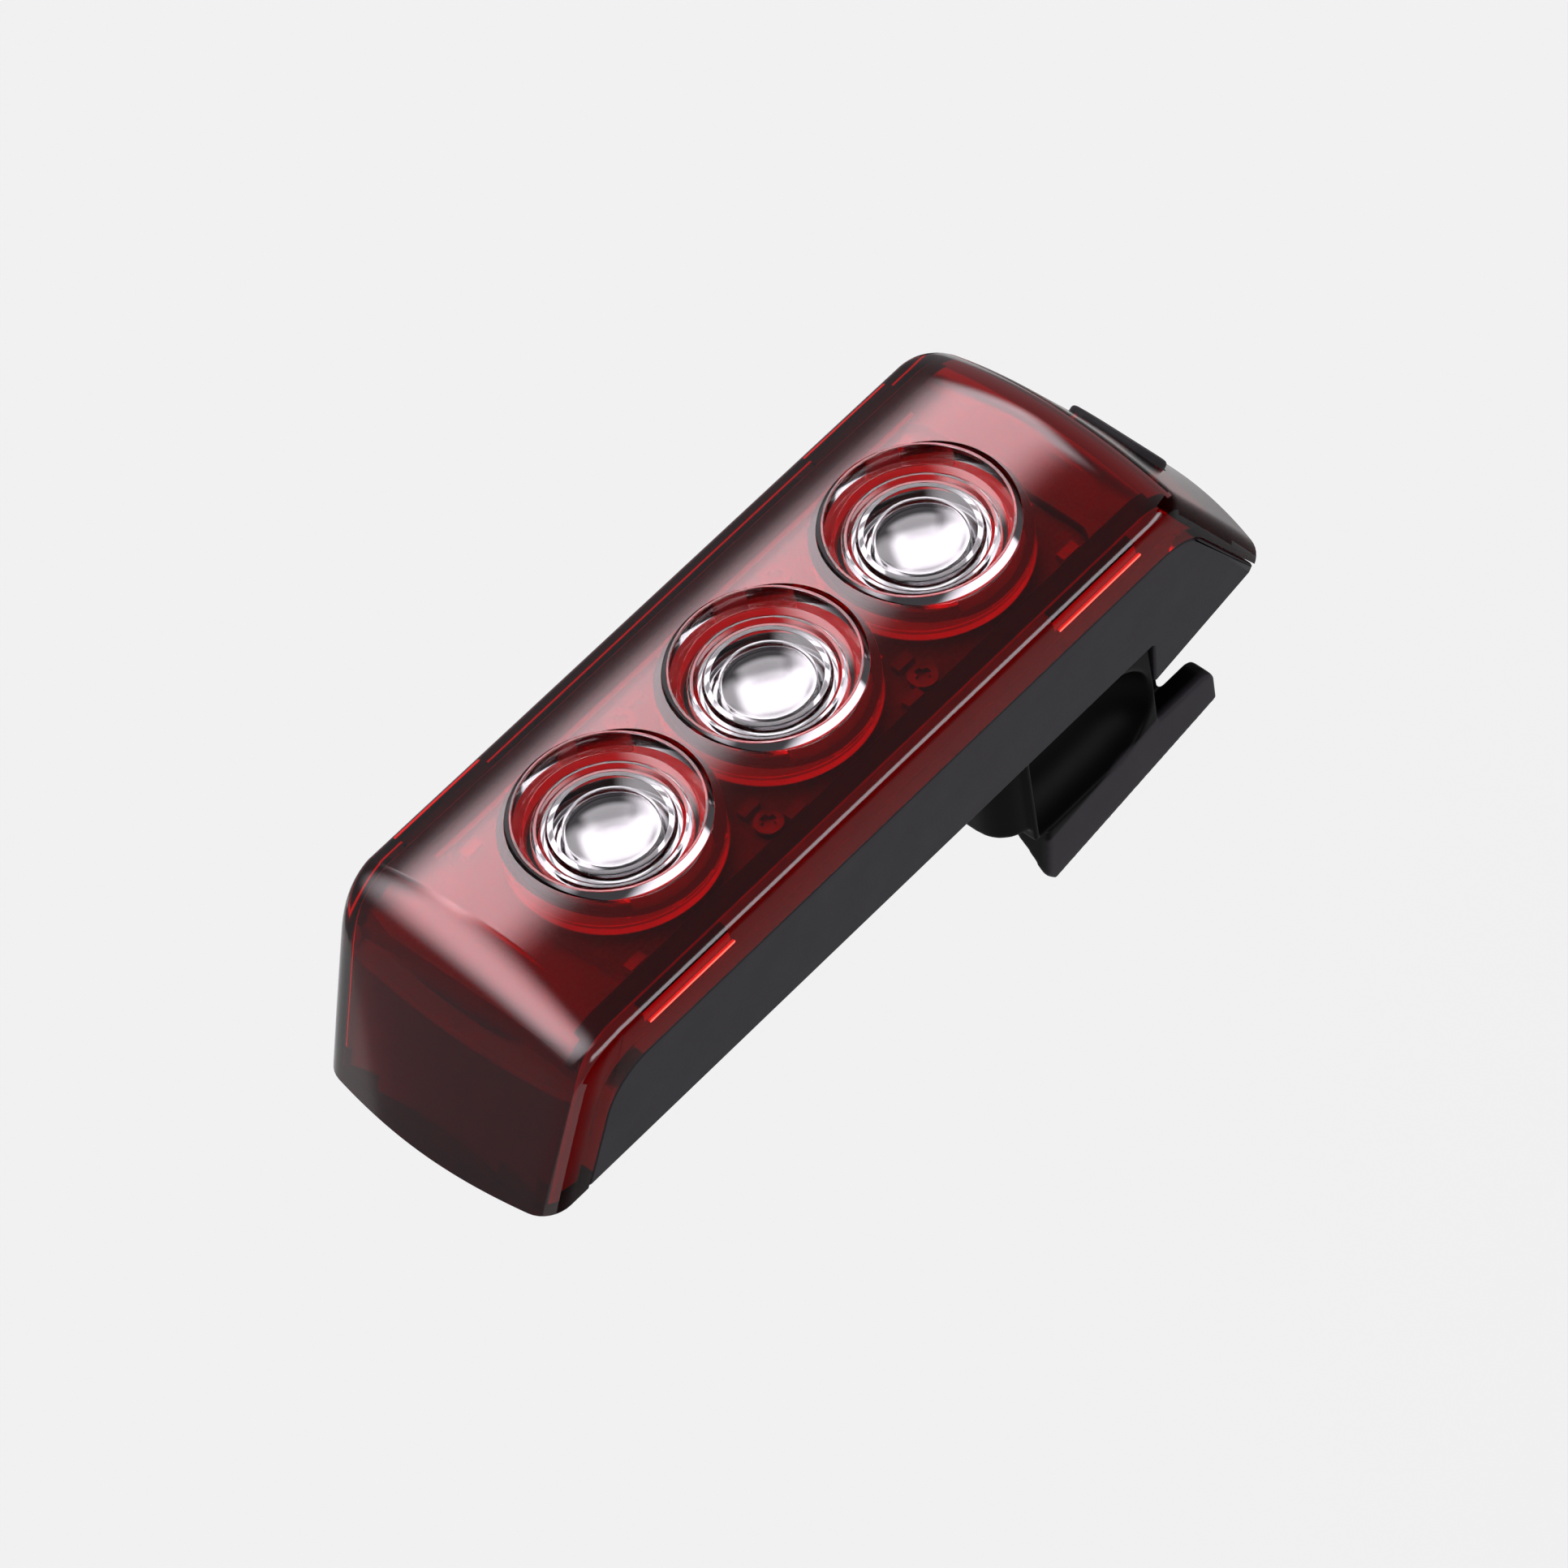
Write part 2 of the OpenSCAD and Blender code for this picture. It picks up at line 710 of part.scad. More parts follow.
// Round channels on both sides for a strap, with a ball end at the far side
module channels() {
  x0 = neck_x + stop_l;
  for (s = [-1, 1]) translate([0, s * (channel_y + channel_r), -channel_z]) {
    translate([x0, 0, 0]) rotate([0, 90, 0]) cylinder(h = channel_x - x0, r = channel_r);
    translate([channel_x, 0, 0]) sphere(channel_r);
  }
}

module mount_foot() color([0.07, 0.07, 0.08]) placed() difference() {
  union() {
    translate([0, 0, -stop_z]) linear_extrude(height = stop_z - body_h) stop_plan();
    block(neck_x + stop_l - over, neck_end, neck_y, -fin_z - over, -body_h);
    across(2 * finger_y) heel_side();
    difference() {
      across(2 * fin_y) fin_side();
      block(neck_end, reach, finger_y, -reach, 0);
    }
  }
  channels();
  translate(mount_at)
    rotate([0, 90 - post_slope, 0])
      cylinder(h = reach, r = post_seat_r, center = true, $fn = crown_fn);
  at_foot_screws() {
    translate([0, 0, -reach]) cylinder(h = reach, r = foot_screw_r + screw_gap);
    translate([0, 0, foot_seat_z - reach]) cylinder(h = reach, r = foot_head_r + screw_gap);
  }
}

// Screw standing with its head below z and its shank above it
module screw(z, r, grip, head_r, head_h) {
  difference() {
    union() {
      translate([0, 0, z]) cylinder(h = grip, r = r);
      translate([0, 0, z - head_h]) cylinder(h = head_h, r = head_r);
    }
    for (a = [0, 90])
      translate([0, 0, z - head_h]) rotate(a)
        cube([2 * (head_r - slot_w), slot_w, head_h], center = true);
  }
}

module foot_screws() color([0.6, 0.6, 0.62]) placed() {
  at_foot_screws()
    screw(foot_seat_z, foot_screw_r, foot_seat_d + floor_t + foot_boss_h - screw_gap,
          foot_head_r, foot_head_h);
}

module case_screws() color([0.6, 0.6, 0.62]) placed() {
  at_case_screws()
    screw(case_seat_z, case_screw_r, case_seat_t + gasket_t + case_grip, case_head_r, case_head_h);
}

module lens_body() color([0.9, 0.92, 0.94, 0.5]) {
  rim_r = lens_r - rim_in;
  well_r = rim_r - rim_w - well_w;
  well_z = rim_up - well_d;
  low = well_z - floor_fall;
  dome_ball = (pow(dome_r, 2) + pow(dome_h, 2)) / (2 * dome_h);
  skirt_r = flange_r - skirt_in;
  rotate_extrude() {
    polygon([
      [0, z_skirt + hollow_h],
      [hollow_r, z_skirt],
      [skirt_r - skirt_w, z_skirt],
      [skirt_r - skirt_w, z_board],
      [skirt_r, z_board],
      [skirt_r, z_skirt],
      [flange_r, z_skirt],
      [flange_r, z_flange],
      [lens_r, z_flange],
      [rim_r, rim_up],
      [rim_r - rim_w, rim_up],
      [well_r, well_z],
      [ring_r + ring_w / 2, low],
      [ring_r, low + ring_h],
      [ring_r - ring_w, low + ring_h],
      [dome_r, low],
      [0, low]
    ]);
    intersection() {
      translate([0, low + dome_h - dome_ball]) circle(dome_ball);
      translate([0, low]) square([dome_r, dome_h]);
    }
  }
}

module lens_near() placed() translate([-lens_pitch, 0, 0]) lens_body();

module lens_middle() placed() lens_body();

module lens_far() placed() translate([lens_pitch, 0, 0]) lens_body();

module lens_seals() color([0.15, 0.15, 0.16]) placed() at_lenses() translate([0, 0, z_flange])
  difference() {
    cylinder(h = seal_t, r = flange_r);
    translate([0, 0, -over]) cylinder(h = seal_t + 2 * over, r = bore_r);
  }

module cover_gasket() color([0.2, 0.2, 0.21]) placed() difference() {
  intersection() {
    body_form(shell_in);
    slab(z_rim, z_frame);
  }
  body_form(tub_in);
  at_case_screws() translate([0, 0, z_rim - over]) cylinder(h = body_h, r = case_screw_r + screw_gap);
}

module board_plan(grow) {
  l = board_len / 2 + grow;
  w = board_w / 2 + grow;
  r = board_r + grow;
  square([2 * l, 2 * (w - r)], center = true);
  square([2 * (l - r), 2 * w], center = true);
  for (sx = [-1, 1], sy = [-1, 1]) translate([sx * (l - r), sy * (w - r)]) circle(r);
}

module inner_frame() color([0.12, 0.02, 0.03]) placed() difference() {
  intersection() {
    body_form(frame_in);
    block(-frame_len / 2, frame_len / 2, reach, z_frame, z_board + frame_up);
  }
  translate([0, 0, z_under]) linear_extrude(height = reach) board_plan(board_gap);
  block(-window_x, -bar_x - bar_w / 2, window_y, z_frame - over, z_board);
  block(bar_w / 2 - bar_x, bar_x - bar_w / 2, window_y, z_frame - over, z_board);
  block(bar_x + bar_w / 2, window_x, window_y, z_frame - over, z_board);
  at_board_screws() translate([0, 0, z_frame - over]) cylinder(h = ledge_t + 2 * over, r = board_screw_r);
  at_case_screws() translate([0, 0, z_frame - over]) cylinder(h = case_grip + over, r = case_screw_r);
}

module main_board() color([0.05, 0.09, 0.07]) placed() translate([0, 0, z_under]) difference() {
  linear_extrude(height = board_t) board_plan(0);
  at_board_screws() translate([0, 0, -over]) cylinder(h = board_t + 2 * over, r = board_screw_r + screw_gap);
}

module main_leds() color([0.9, 0.85, 0.5]) placed() at_lenses() translate([0, 0, z_board]) {
  translate([-emitter_w / 2, -emitter_w / 2, 0]) cube([emitter_w, emitter_w, emitter_h]);
  translate([0, 0, emitter_h]) difference() {
    sphere(emitter_r);
    translate([0, 0, -emitter_r]) cube(2 * emitter_r, center = true);
  }
}

module chip(x, y, z, turned = 0) {
  translate([x, y, z])
    rotate(turned)
      translate([-chip_l / 2, -chip_w / 2, 0]) cube([chip_l, chip_w, chip_h]);
}

module side_leds() color([0.9, 0.8, 0.6]) placed() {
  for (sx = [-1, 1], sy = [-1, 1])
    chip(sx * (window_x - chip_w), sy * (window_y + chip_w / 2), z_board);
}

module status_led() color([0.8, 0.2, 0.15]) placed() {
  chip(window_x, window_y / 2, z_board, 90);
}

module driver_parts() color([0.12, 0.12, 0.13]) placed() {
  translate([-control_w / 2, -control_w / 2, z_under - control_h]) cube([control_w, control_w, control_h]);
  translate([lens_pitch - coil_w / 2, -coil_w / 2, z_under - coil_h]) cube([coil_w, coil_w, coil_h]);
  for (sy = [-1, 1]) {
    chip(-control_w, sy * chip_l, z_under - chip_h, 90);
    chip(lens_pitch - coil_w, sy * chip_l, z_under - chip_h, 90);
  }
}

module top_parts() color([0.25, 0.22, 0.2]) placed() {
  for (sx = [-1, 1], sy = [-1, 1]) {
    chip(sx * bar_x, sy * (board_screw_y - board_head_r - chip_w), z_board, 0);
    chip(sx * (bar_x - board_head_r - chip_w), sy * (window_y + chip_w / 2), z_board, 0);
  }
}

module board_screws() color([0.65, 0.65, 0.67]) placed() at_board_screws()
  mirror([0, 0, 1])
    screw(-z_board, board_screw_r, board_t + ledge_t, board_head_r, board_head_h);

module side_guides() color([0.95, 0.2, 0.12]) placed() {
  guide_bar(0, -2 * guide_fit);
}

module battery_cell() color([0.75, 0.76, 0.78]) placed() {
  block(-cell_x, cell_l - cell_x, cell_w / 2, z_cell - cell_t, z_cell);
}

module battery_pad() color([0.16, 0.16, 0.17]) placed() difference() {
  block(-cell_x, cell_l - cell_x, cell_w / 2, z_floor, z_cell - cell_t);
  at_foot_screws() translate([0, 0, z_floor - over]) cylinder(h = body_h, r = foot_boss_r + screw_gap);
}

module battery_leads() color([0.75, 0.1, 0.1]) placed() {
  for (s = [-1, 1]) translate([lead_x + lead_bend, s * lead_pitch / 2, z_plug]) {
    rotate([90, 0, 0]) rotate_extrude(angle = 90, start = 180) translate([lead_bend, 0]) circle(lead_r);
    translate([0, 0, -lead_bend]) rotate([0, 90, 0]) cylinder(h = lead_run, r = lead_r);
  }
}

module battery_plug() color([0.92, 0.91, 0.86]) placed() {
  block(lead_x - plug_l / 2, lead_x + plug_l / 2, plug_w / 2, z_plug, z_under);
}

module usb_socket() color([0.72, 0.73, 0.75]) placed() translate([-port_x, 0, socket_mouth]) difference() {
  linear_extrude(height = z_under - socket_mouth) oval(socket_w, socket_t);
  translate([0, 0, -over])
    linear_extrude(height = socket_depth + over)
      oval(socket_w - 2 * socket_wall, socket_t - 2 * socket_wall);
}

module usb_tongue() color([0.08, 0.08, 0.09]) placed() {
  translate([-port_x - tongue_t / 2, -tongue_w / 2, socket_mouth + tongue_in])
    cube([tongue_t, tongue_w, socket_depth - tongue_in]);
}

module port_cover() color([0.09, 0.09, 0.1]) placed() {
  block(bead_x, bead_x + flap_l, flap_w / 2, -body_h, flap_top);
  translate([bead_x, 0, bead_z]) rotate([90, 0, 0]) cylinder(h = flap_w, r = bead_r, center = true);
  translate([-port_x, 0, flap_top - over])
    linear_extrude(height = seal_h + over)
      oval(socket_w + 2 * (port_gap - flap_gap), socket_t + 2 * (port_gap - flap_gap));
}

module power_button() color([0.06, 0.06, 0.07]) placed() on_face() {
  translate([0, 0, collar_top]) linear_extrude(height = button_up - collar_top) oval(button_w, button_h);
  translate([0, 0, collar_base])
    linear_extrude(height = collar_t)
      oval(button_w + 2 * collar_w, button_h + 2 * collar_w);
  translate([0, 0, stem_end]) cylinder(h = collar_base - stem_end + over, r = stem_r);
}

module switch_plunger() color([0.85, 0.3, 0.2]) placed() on_face() {
  translate([0, 0, switch_top - plunger_in]) cylinder(h = stem_end - switch_top + plunger_in, r = plunger_r);
}

module tact_switch() color([0.3, 0.3, 0.31]) placed() on_face() difference() {
  translate([-switch_w / 2, -switch_w / 2, switch_base]) cube([switch_w, switch_w, switch_h]);
  translate([0, 0, switch_top - plunger_in - button_travel - button_gap])
    cylinder(h = switch_h, r = plunger_r + screw_gap);
}

module switch_board() color([0.05, 0.09, 0.07]) placed() on_face() {
  translate([-switch_board_h / 2, -switch_board_w / 2, switch_back])
    cube([switch_board_h, switch_board_w, switch_board_t]);
}

module strip(points, t) {
  for (k = [0:len(points) - 2]) {
    d = points[k + 1] - points[k];
    translate(points[k]) rotate(atan2(d[1], d[0])) translate([0, -t / 2]) square([norm(d), t]);
    translate(points[k]) circle(t / 2);
  }
}

module switch_ribbon() color([0.7, 0.45, 0.15]) placed() {
  z_top = z_under - ribbon_t / 2;
  x_drop = window_x - 3 * ribbon_t;
  z_pass = z_frame - cell_gap;
  across(ribbon_w) strip([
    [lens_pitch + coil_w, z_top],
    [x_drop, z_top],
    [x_drop, z_pass],
    [cell_l - cell_x + lead_run, z_pass - cell_gap / 2],
    face_pt(-switch_board_h / 3, switch_back - ribbon_t / 2),
    face_pt(0, switch_back - ribbon_t / 2)
  ], ribbon_t);
}

lens_cover();
rear_housing();
mount_foot();
foot_screws();
case_screws();
lens_near();
lens_middle();
lens_far();
lens_seals();
cover_gasket();
inner_frame();
main_board();
main_leds();
side_leds();
status_led();
driver_parts();
top_parts();
board_screws();
side_guides();
battery_cell();
battery_pad();
battery_leads();
battery_plug();
usb_socket();
usb_tongue();
port_cover();
power_button();
switch_plunger();
tact_switch();
switch_board();
switch_ribbon();
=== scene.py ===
"""Bicycle rear light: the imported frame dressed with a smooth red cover, clear lenses and real finishes."""

from __future__ import annotations

import json
import logging
from dataclasses import dataclass
from enum import IntEnum
from math import asin, copysign, cos, hypot, pi, radians, sin, tan

import bpy
from mathutils import Matrix, Vector

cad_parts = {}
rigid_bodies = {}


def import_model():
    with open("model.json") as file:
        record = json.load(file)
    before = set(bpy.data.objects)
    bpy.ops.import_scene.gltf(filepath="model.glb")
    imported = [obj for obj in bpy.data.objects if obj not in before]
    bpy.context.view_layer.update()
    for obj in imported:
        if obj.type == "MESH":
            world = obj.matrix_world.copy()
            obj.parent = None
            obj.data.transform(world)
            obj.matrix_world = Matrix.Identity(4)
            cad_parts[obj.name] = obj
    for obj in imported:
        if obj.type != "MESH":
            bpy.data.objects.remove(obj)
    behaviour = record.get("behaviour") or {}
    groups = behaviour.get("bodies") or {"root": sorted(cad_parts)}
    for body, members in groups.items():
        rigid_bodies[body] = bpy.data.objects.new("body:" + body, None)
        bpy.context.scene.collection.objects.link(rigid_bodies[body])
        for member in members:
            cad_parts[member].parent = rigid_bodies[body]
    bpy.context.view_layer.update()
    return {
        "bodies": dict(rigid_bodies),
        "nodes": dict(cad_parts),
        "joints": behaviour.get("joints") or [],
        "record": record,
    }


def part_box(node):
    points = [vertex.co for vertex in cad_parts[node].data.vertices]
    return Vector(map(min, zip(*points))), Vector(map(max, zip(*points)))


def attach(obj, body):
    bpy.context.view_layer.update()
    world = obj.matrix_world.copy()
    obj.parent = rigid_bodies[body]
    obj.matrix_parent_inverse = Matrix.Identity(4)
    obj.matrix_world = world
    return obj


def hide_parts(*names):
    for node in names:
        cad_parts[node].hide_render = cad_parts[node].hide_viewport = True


LOG = logging.getLogger("rear_light")
MM = 0.001
Color = tuple[float, float, float]
Point2 = tuple[float, float]
Point3 = tuple[float, float, float]
Obj, Node, Tree, Socket = bpy.types.Object, bpy.types.Node, bpy.types.NodeTree, bpy.types.NodeSocket
Inputs = dict[str | int, object]
REAL, COLOR, VECTOR = "NodeSocketFloat", "NodeSocketColor", "NodeSocketVector"
WINDOW_AXES, WINDOW_SIZES = ("Direction", "Side", "Up"), ("Half Width", "Half Height", "Softness")
BLACK, WHITE = (0.0, 0.0, 0.0, 1.0), (1.0, 1.0, 1.0, 1.0)
STRAIGHT = radians(88)
LENS_ROW = {"lens_near": -16.0, "lens_middle": 0.0, "lens_far": 16.0}
CORNERS = ((-1, -1), (-1, 1), (1, -1), (1, 1))
GUIDE_X, GUIDE_Z = 21.1, -4.1
BODY = "light_body"


class CoverFace(IntEnum):
    """Material slots of the cover."""

    TOP = 0
    # SIDE and FAR_END take darker copies of the red: painted shade
    SIDE = 1
    BOSS = 2
    # faces painted dark as shade
    DARK = 3
    FAR_END = 4
    # INNER_SIDE takes an opaque darker red: painted shade
    INNER_SIDE = 5


class LensFace(IntEnum):
    """Material slots of a lens."""

    CLEAR = 0
    SILVER = 1
    SEAT = 2


def turns(steps: int) -> list[float]:
    """Evenly spaced angles round a circle, in radians."""
    return [2 * pi * k / steps for k in range(steps)]


class Shape:
    """Vertices and faces in millimetres, in the frame of the lens row."""

    def __init__(self) -> None:
        """Start with nothing."""
        self.verts: list[Vector] = []
        self.faces: list[list[int]] = []
        self.slots: list[int] = []

    def add(self, verts: list[Vector], faces: list[list[int]], slot: int = 0) -> None:
        """Add one closed piece.

        Args:
            verts: Corner points of the piece.
            faces: Corner numbers of each face, counted from the piece's first corner.
            slot: Material slot of the faces.
        """
        base = len(self.verts)
        self.verts += verts
        self.faces += [[base + i for i in f] for f in faces]
        self.slots += [slot] * len(faces)

    def prism(self, low: list[Vector], high: list[Vector]) -> None:
        """Add a closed prism between two outlines of equal length.

        Args:
            low: Outline of one end.
            high: Outline of the other end.
        """
        n = len(low)
        faces = [[i, (i + 1) % n, n + (i + 1) % n, n + i] for i in range(n)]
        faces += [list(range(n))[::-1], list(range(n, 2 * n))]
        self.add(low + high, faces)

    def disc_stack(self, centre: Point2, r: float, z0: float, z1: float, steps: int = 96) -> None:
        """Add an upright cylinder.

        Args:
            centre: Place of the axis.
            r: Radius.
            z0: Lower level.
            z1: Upper level.
            steps: Number of sides.
        """
        xy = [(centre[0] + r * cos(a), centre[1] + r * sin(a)) for a in turns(steps)]
        self.prism([Vector((x, y, z0)) for x, y in xy], [Vector((x, y, z1)) for x, y in xy])

    def across(self, outline: list[Point2], half: float) -> None:
        """Add a prism that runs across the light.

        Args:
            outline: Points of the side outline as x and z.
            half: Half length of the prism.
        """
        low = [Vector((x, -half, z)) for x, z in outline]
        self.prism(low, [Vector((v.x, half, v.z)) for v in low])

    def box(self, low: Vector, high: Vector) -> None:
        """Add a block between two corners."""
        ring = [(low.x, low.y), (high.x, low.y), (high.x, high.y), (low.x, high.y)]
        self.prism([Vector((x, y, low.z)) for x, y in ring], [Vector((x, y, high.z)) for x, y in ring])

    def turned(self, outline: list[Point2], slots: list[int], centre: Point2, steps: int) -> None:
        """Add a solid of revolution about an upright axis.

        Args:
            outline: Radius and level of each point, starting and ending on the axis.
            slots: Material slot of each stretch of the outline.
            centre: Place of the axis.
            steps: Number of sides.
        """
        base = len(self.verts)
        cx, cy = centre
        self.verts.append(Vector((cx, cy, outline[0][1])))
        for r, z in outline[1:-1]:
            self.verts += [Vector((cx + r * cos(a), cy + r * sin(a), z)) for a in turns(steps)]
        self.verts.append(Vector((cx, cy, outline[-1][1])))
        last = len(self.verts) - 1
        rows = len(outline) - 2
        for k in range(steps):
            n = (k + 1) % steps
            self.faces.append([base, base + 1 + k, base + 1 + n])
            self.slots.append(slots[0])
            for i in range(rows - 1):
                a = base + 1 + i * steps
                self.faces.append([a + k, a + steps + k, a + steps + n, a + n])
                self.slots.append(slots[i + 1])
            a = base + 1 + (rows - 1) * steps
            self.faces.append([a + k, last, a + n])
            self.slots.append(slots[-1])

    def loop(self, path: list[Vector], r: float, sides: int = 8) -> None:
        """Add a thin round bead along a closed level path.

        Args:
            path: Points of the path.
            r: Radius of the bead.
            sides: Number of sides round the bead.
        """
        n = len(path)
        verts: list[Vector] = []
        for k, p in enumerate(path):
            run = (path[(k + 1) % n] - path[k - 1]).normalized()
            out = Vector((run.y, -run.x, 0.0))
            for a in turns(sides):
                verts.append(p + out * (r * cos(a)) + Vector((0.0, 0.0, r * sin(a))))
        faces = []
        for k in range(n):
            a, b = k * sides, ((k + 1) % n) * sides
            faces += [[a + i, b + i, b + (i + 1) % sides, a + (i + 1) % sides] for i in range(sides)]
        self.add(verts, faces)

    def to_object(self, name: str) -> Obj:
        """Make a linked mesh object, still in millimetres.

        Args:
            name: Name of the object.

        Returns:
            The new object.
        """
        mesh = bpy.data.meshes.new(name)
        mesh.from_pydata([tuple(v) for v in self.verts], [], self.faces)
        mesh.polygons.foreach_set("material_index", self.slots)
        mesh.update()
        obj = bpy.data.objects.new(name, mesh)
        bpy.context.scene.collection.objects.link(obj)
        return obj


def discard(obj: Obj) -> None:
    """Remove an object together with its mesh."""
    mesh = obj.data
    bpy.data.objects.remove(obj)
    bpy.data.meshes.remove(mesh)


def modify(obj: Obj, name: str, kind: str, **traits: object) -> bpy.types.Modifier:
    """Add a modifier.

    Args:
        obj: Object that takes it.
        name: Name of the modifier.
        kind: Type of the modifier.
        traits: Settings of the modifier.

    Returns:
        The new modifier.
    """
    mod = obj.modifiers.new(name, kind)
    for key, value in traits.items():
        setattr(mod, key, value)
    return mod


def carve(target: Obj, shape: Shape) -> None:
    """Cut one solid out of another.

    Args:
        target: Object that changes.
        shape: Solid that is taken away.
    """
    tool = shape.to_object("tool")
    mod = modify(target, "carve", "BOOLEAN", operation="DIFFERENCE", solver="MANIFOLD", object=tool)
    graph = bpy.context.evaluated_depsgraph_get()
    made = bpy.data.meshes.new_from_object(target.evaluated_get(graph))
    target.modifiers.remove(mod)
    old = target.data
    target.data = made
    made.name = target.name
    bpy.data.meshes.remove(old)
    discard(tool)


def settle(obj: Obj, origin: Vector, sharp: float) -> None:
    """Bring a finished piece into the shared frame and shade it smooth.

    Args:
        obj: Piece in millimetres.
        origin: Place of the lens row's origin in the shared frame.
        sharp: Angle in degrees above which an edge stays crisp.
    """
    obj.data.transform(Matrix.Translation(origin) @ Matrix.Scale(MM, 4))
    obj.data.polygons.foreach_set("use_smooth", [True] * len(obj.data.polygons))
    obj.data.set_sharp_from_angle(angle=radians(sharp))
    obj.data.update()


def rounded(
    points: list[Point2], radii: tuple[float, ...], steps: int = 5, share: float = 0.45
) -> list[Point2]:
    """Round the inner corners of an open outline.

    Args:
        points: Corners of the outline.
        radii: Rounding at each corner; 0 keeps it crisp.
        steps: Points in each rounding.
        share: Largest part of a stretch that one rounding may take.

    Returns:
        The outline with its roundings.
    """
    out = [points[0]]
    for k in range(1, len(points) - 1):
        a, p, b = (Vector(points[k + d]) for d in (-1, 0, 1))
        u, v = (a - p).normalized(), (b - p).normalized()
        half = u.angle(v) / 2
        if radii[k] <= 0 or half > STRAIGHT:
            out.append(points[k])
            continue
        reach = min(radii[k] / tan(half), share * (a - p).length, share * (b - p).length)
        r = reach * tan(half)
        centre = p + (u + v).normalized() * (r / sin(half))
        d0, d1 = p + u * reach - centre, p + v * reach - centre
        for i in range(steps + 1):
            d = d0.lerp(d1, i / steps).normalized() * r
            out.append(tuple(centre + d))
    return out + [points[-1]]


@dataclass(frozen=True)
class Station:
    """One point of the side outline with its outward direction and its share of the end face."""

    x: float
    z: float
    nx: float
    nz: float
    near: float
    far: float


@dataclass(frozen=True)
class BodyForm:
    """The outer form of the light in millimetres: crowned top, leaning ends and drafted sides."""

    near_len: float = 37.85
    far_len: float = 39.455
    height: float = 16.5
    half_width: float = 12.03
    edge_z: float = 3.3
    crown_r: float = 33.0
    draft: float = radians(4.5)
    near_lean: float = radians(21.4)
    far_lean: float = radians(31.0)
    near_round: float = 5.8
    far_round: float = 5.0
    near_low: float = -18.5
    far_low: float = -20.0
    top_edge: float = 1.0
    end_edge: float = 2.2
    crease: float = radians(7.0)
    end_steps: int = 12
    bend_steps: int = 16
    top_steps: int = 40

    def half_at(self, z: float) -> float:
        """Half width of the side walls at a level."""
        return self.half_width + (z + self.edge_z) * tan(self.draft)

    def outline(
        self, top: float, near_x: float, far_x: float, rn: float, rf: float, inset: float
    ) -> list[Station]:
        """Side outline from the near foot over the top to the far foot.

        Args:
            top: Level of the upper line.
            near_x: Near end at the back.
            far_x: Far end at the back.
            rn: Rounding at the near end.
            rf: Rounding at the far end.
            inset: How far the outline is drawn in.

        Returns:
            Stations along the outline.
        """
        ln, lf = self.near_lean, self.far_lean
        rise = self.height + top
        nc = (near_x + rise * tan(ln) + rn * tan(pi / 4 - ln / 2), top - rn)
        fc = (far_x - rise * tan(lf) - rf * tan(pi / 4 - lf / 2), top - rf)
        rn, rf = rn - inset, rf - inset
        dn, df = (-cos(ln), sin(ln)), (cos(lf), sin(lf))
        n0 = (nc[0] + rn * dn[0], nc[1] + rn * dn[1])
        f0 = (fc[0] + rf * df[0], fc[1] + rf * df[1])
        ends, bend, tops = self.end_steps, self.bend_steps, self.top_steps
        out: list[Station] = []
        for k in range(ends):
            z = self.near_low + (n0[1] - self.near_low) * k / ends
            out.append(Station(n0[0] - (n0[1] - z) * tan(ln), z, *dn, 1.0, 0.0))
        lift = rn * (1 - cos(self.crease))
        for t in [k / bend for k in range(bend)] + [0.99, 1.0]:  # close pair: keeps the crease crisp
            a = pi - ln + (self.crease - pi / 2 + ln) * t
            c, s = cos(a), sin(a)
            out.append(Station(nc[0] + rn * c, nc[1] + rn * s + lift * t, c, s, 1 - t, 0.0))
        start = nc[0] - rn * sin(self.crease)
        for t in [0.001] + [k / tops for k in range(1, tops)]:
            out.append(Station(start + (fc[0] - start) * t, top - inset, 0.0, 1.0, 0.0, 0.0))
        for k in range(bend + 1):
            a = pi / 2 + (lf - pi / 2) * k / bend
            c, s = cos(a), sin(a)
            out.append(Station(fc[0] + rf * c, fc[1] + rf * s, c, s, 0.0, k / bend))
        for k in range(1, ends + 1):
            z = f0[1] + (self.far_low - f0[1]) * k / ends
            out.append(Station(f0[0] + (f0[1] - z) * tan(lf), z, *df, 0.0, 1.0))
        return out

    def row(self, st: Station, inset: float, edge: float, steps: int = 18, bend: int = 8) -> list[Vector]:
        """Points across the light at one station, with rolled side edges.

        Args:
            st: Station on the side outline.
            inset: How far the side walls are drawn in.
            edge: Radius of the rolled edge.
            steps: Points from the middle to the rolled edge.
            bend: Points along the rolled edge.

        Returns:
            Points from the one side wall to the other.
        """
        rho, inner = self.crown_r + st.z, self.crown_r + st.z - edge * st.nz
        theta = 0.3  # first guess; the steps below settle on where the rolled edge starts
        for _ in range(40):
            y = self.half_at(inner * cos(theta) - self.crown_r) - (inset + edge) / cos(self.draft)
            theta = asin(min(0.999, y / inner))
        half: list[Vector] = []
        for k in range(steps + 1):
            a = theta * k / steps
            half.append(Vector((st.x, rho * sin(a), rho * cos(a) - self.crown_r)))
        c = Vector((st.x - edge * st.nx, inner * sin(theta), inner * cos(theta) - self.crown_r))
        n0 = Vector((st.nx, st.nz * sin(theta), st.nz * cos(theta)))
        n1 = Vector((0.0, cos(self.draft), -sin(self.draft)))
        for k in range(1, bend + 1):
            half.append(c + n0.slerp(n1, k / bend) * edge)
        return [Vector((v.x, -v.y, v.z)) for v in half[:0:-1]] + half

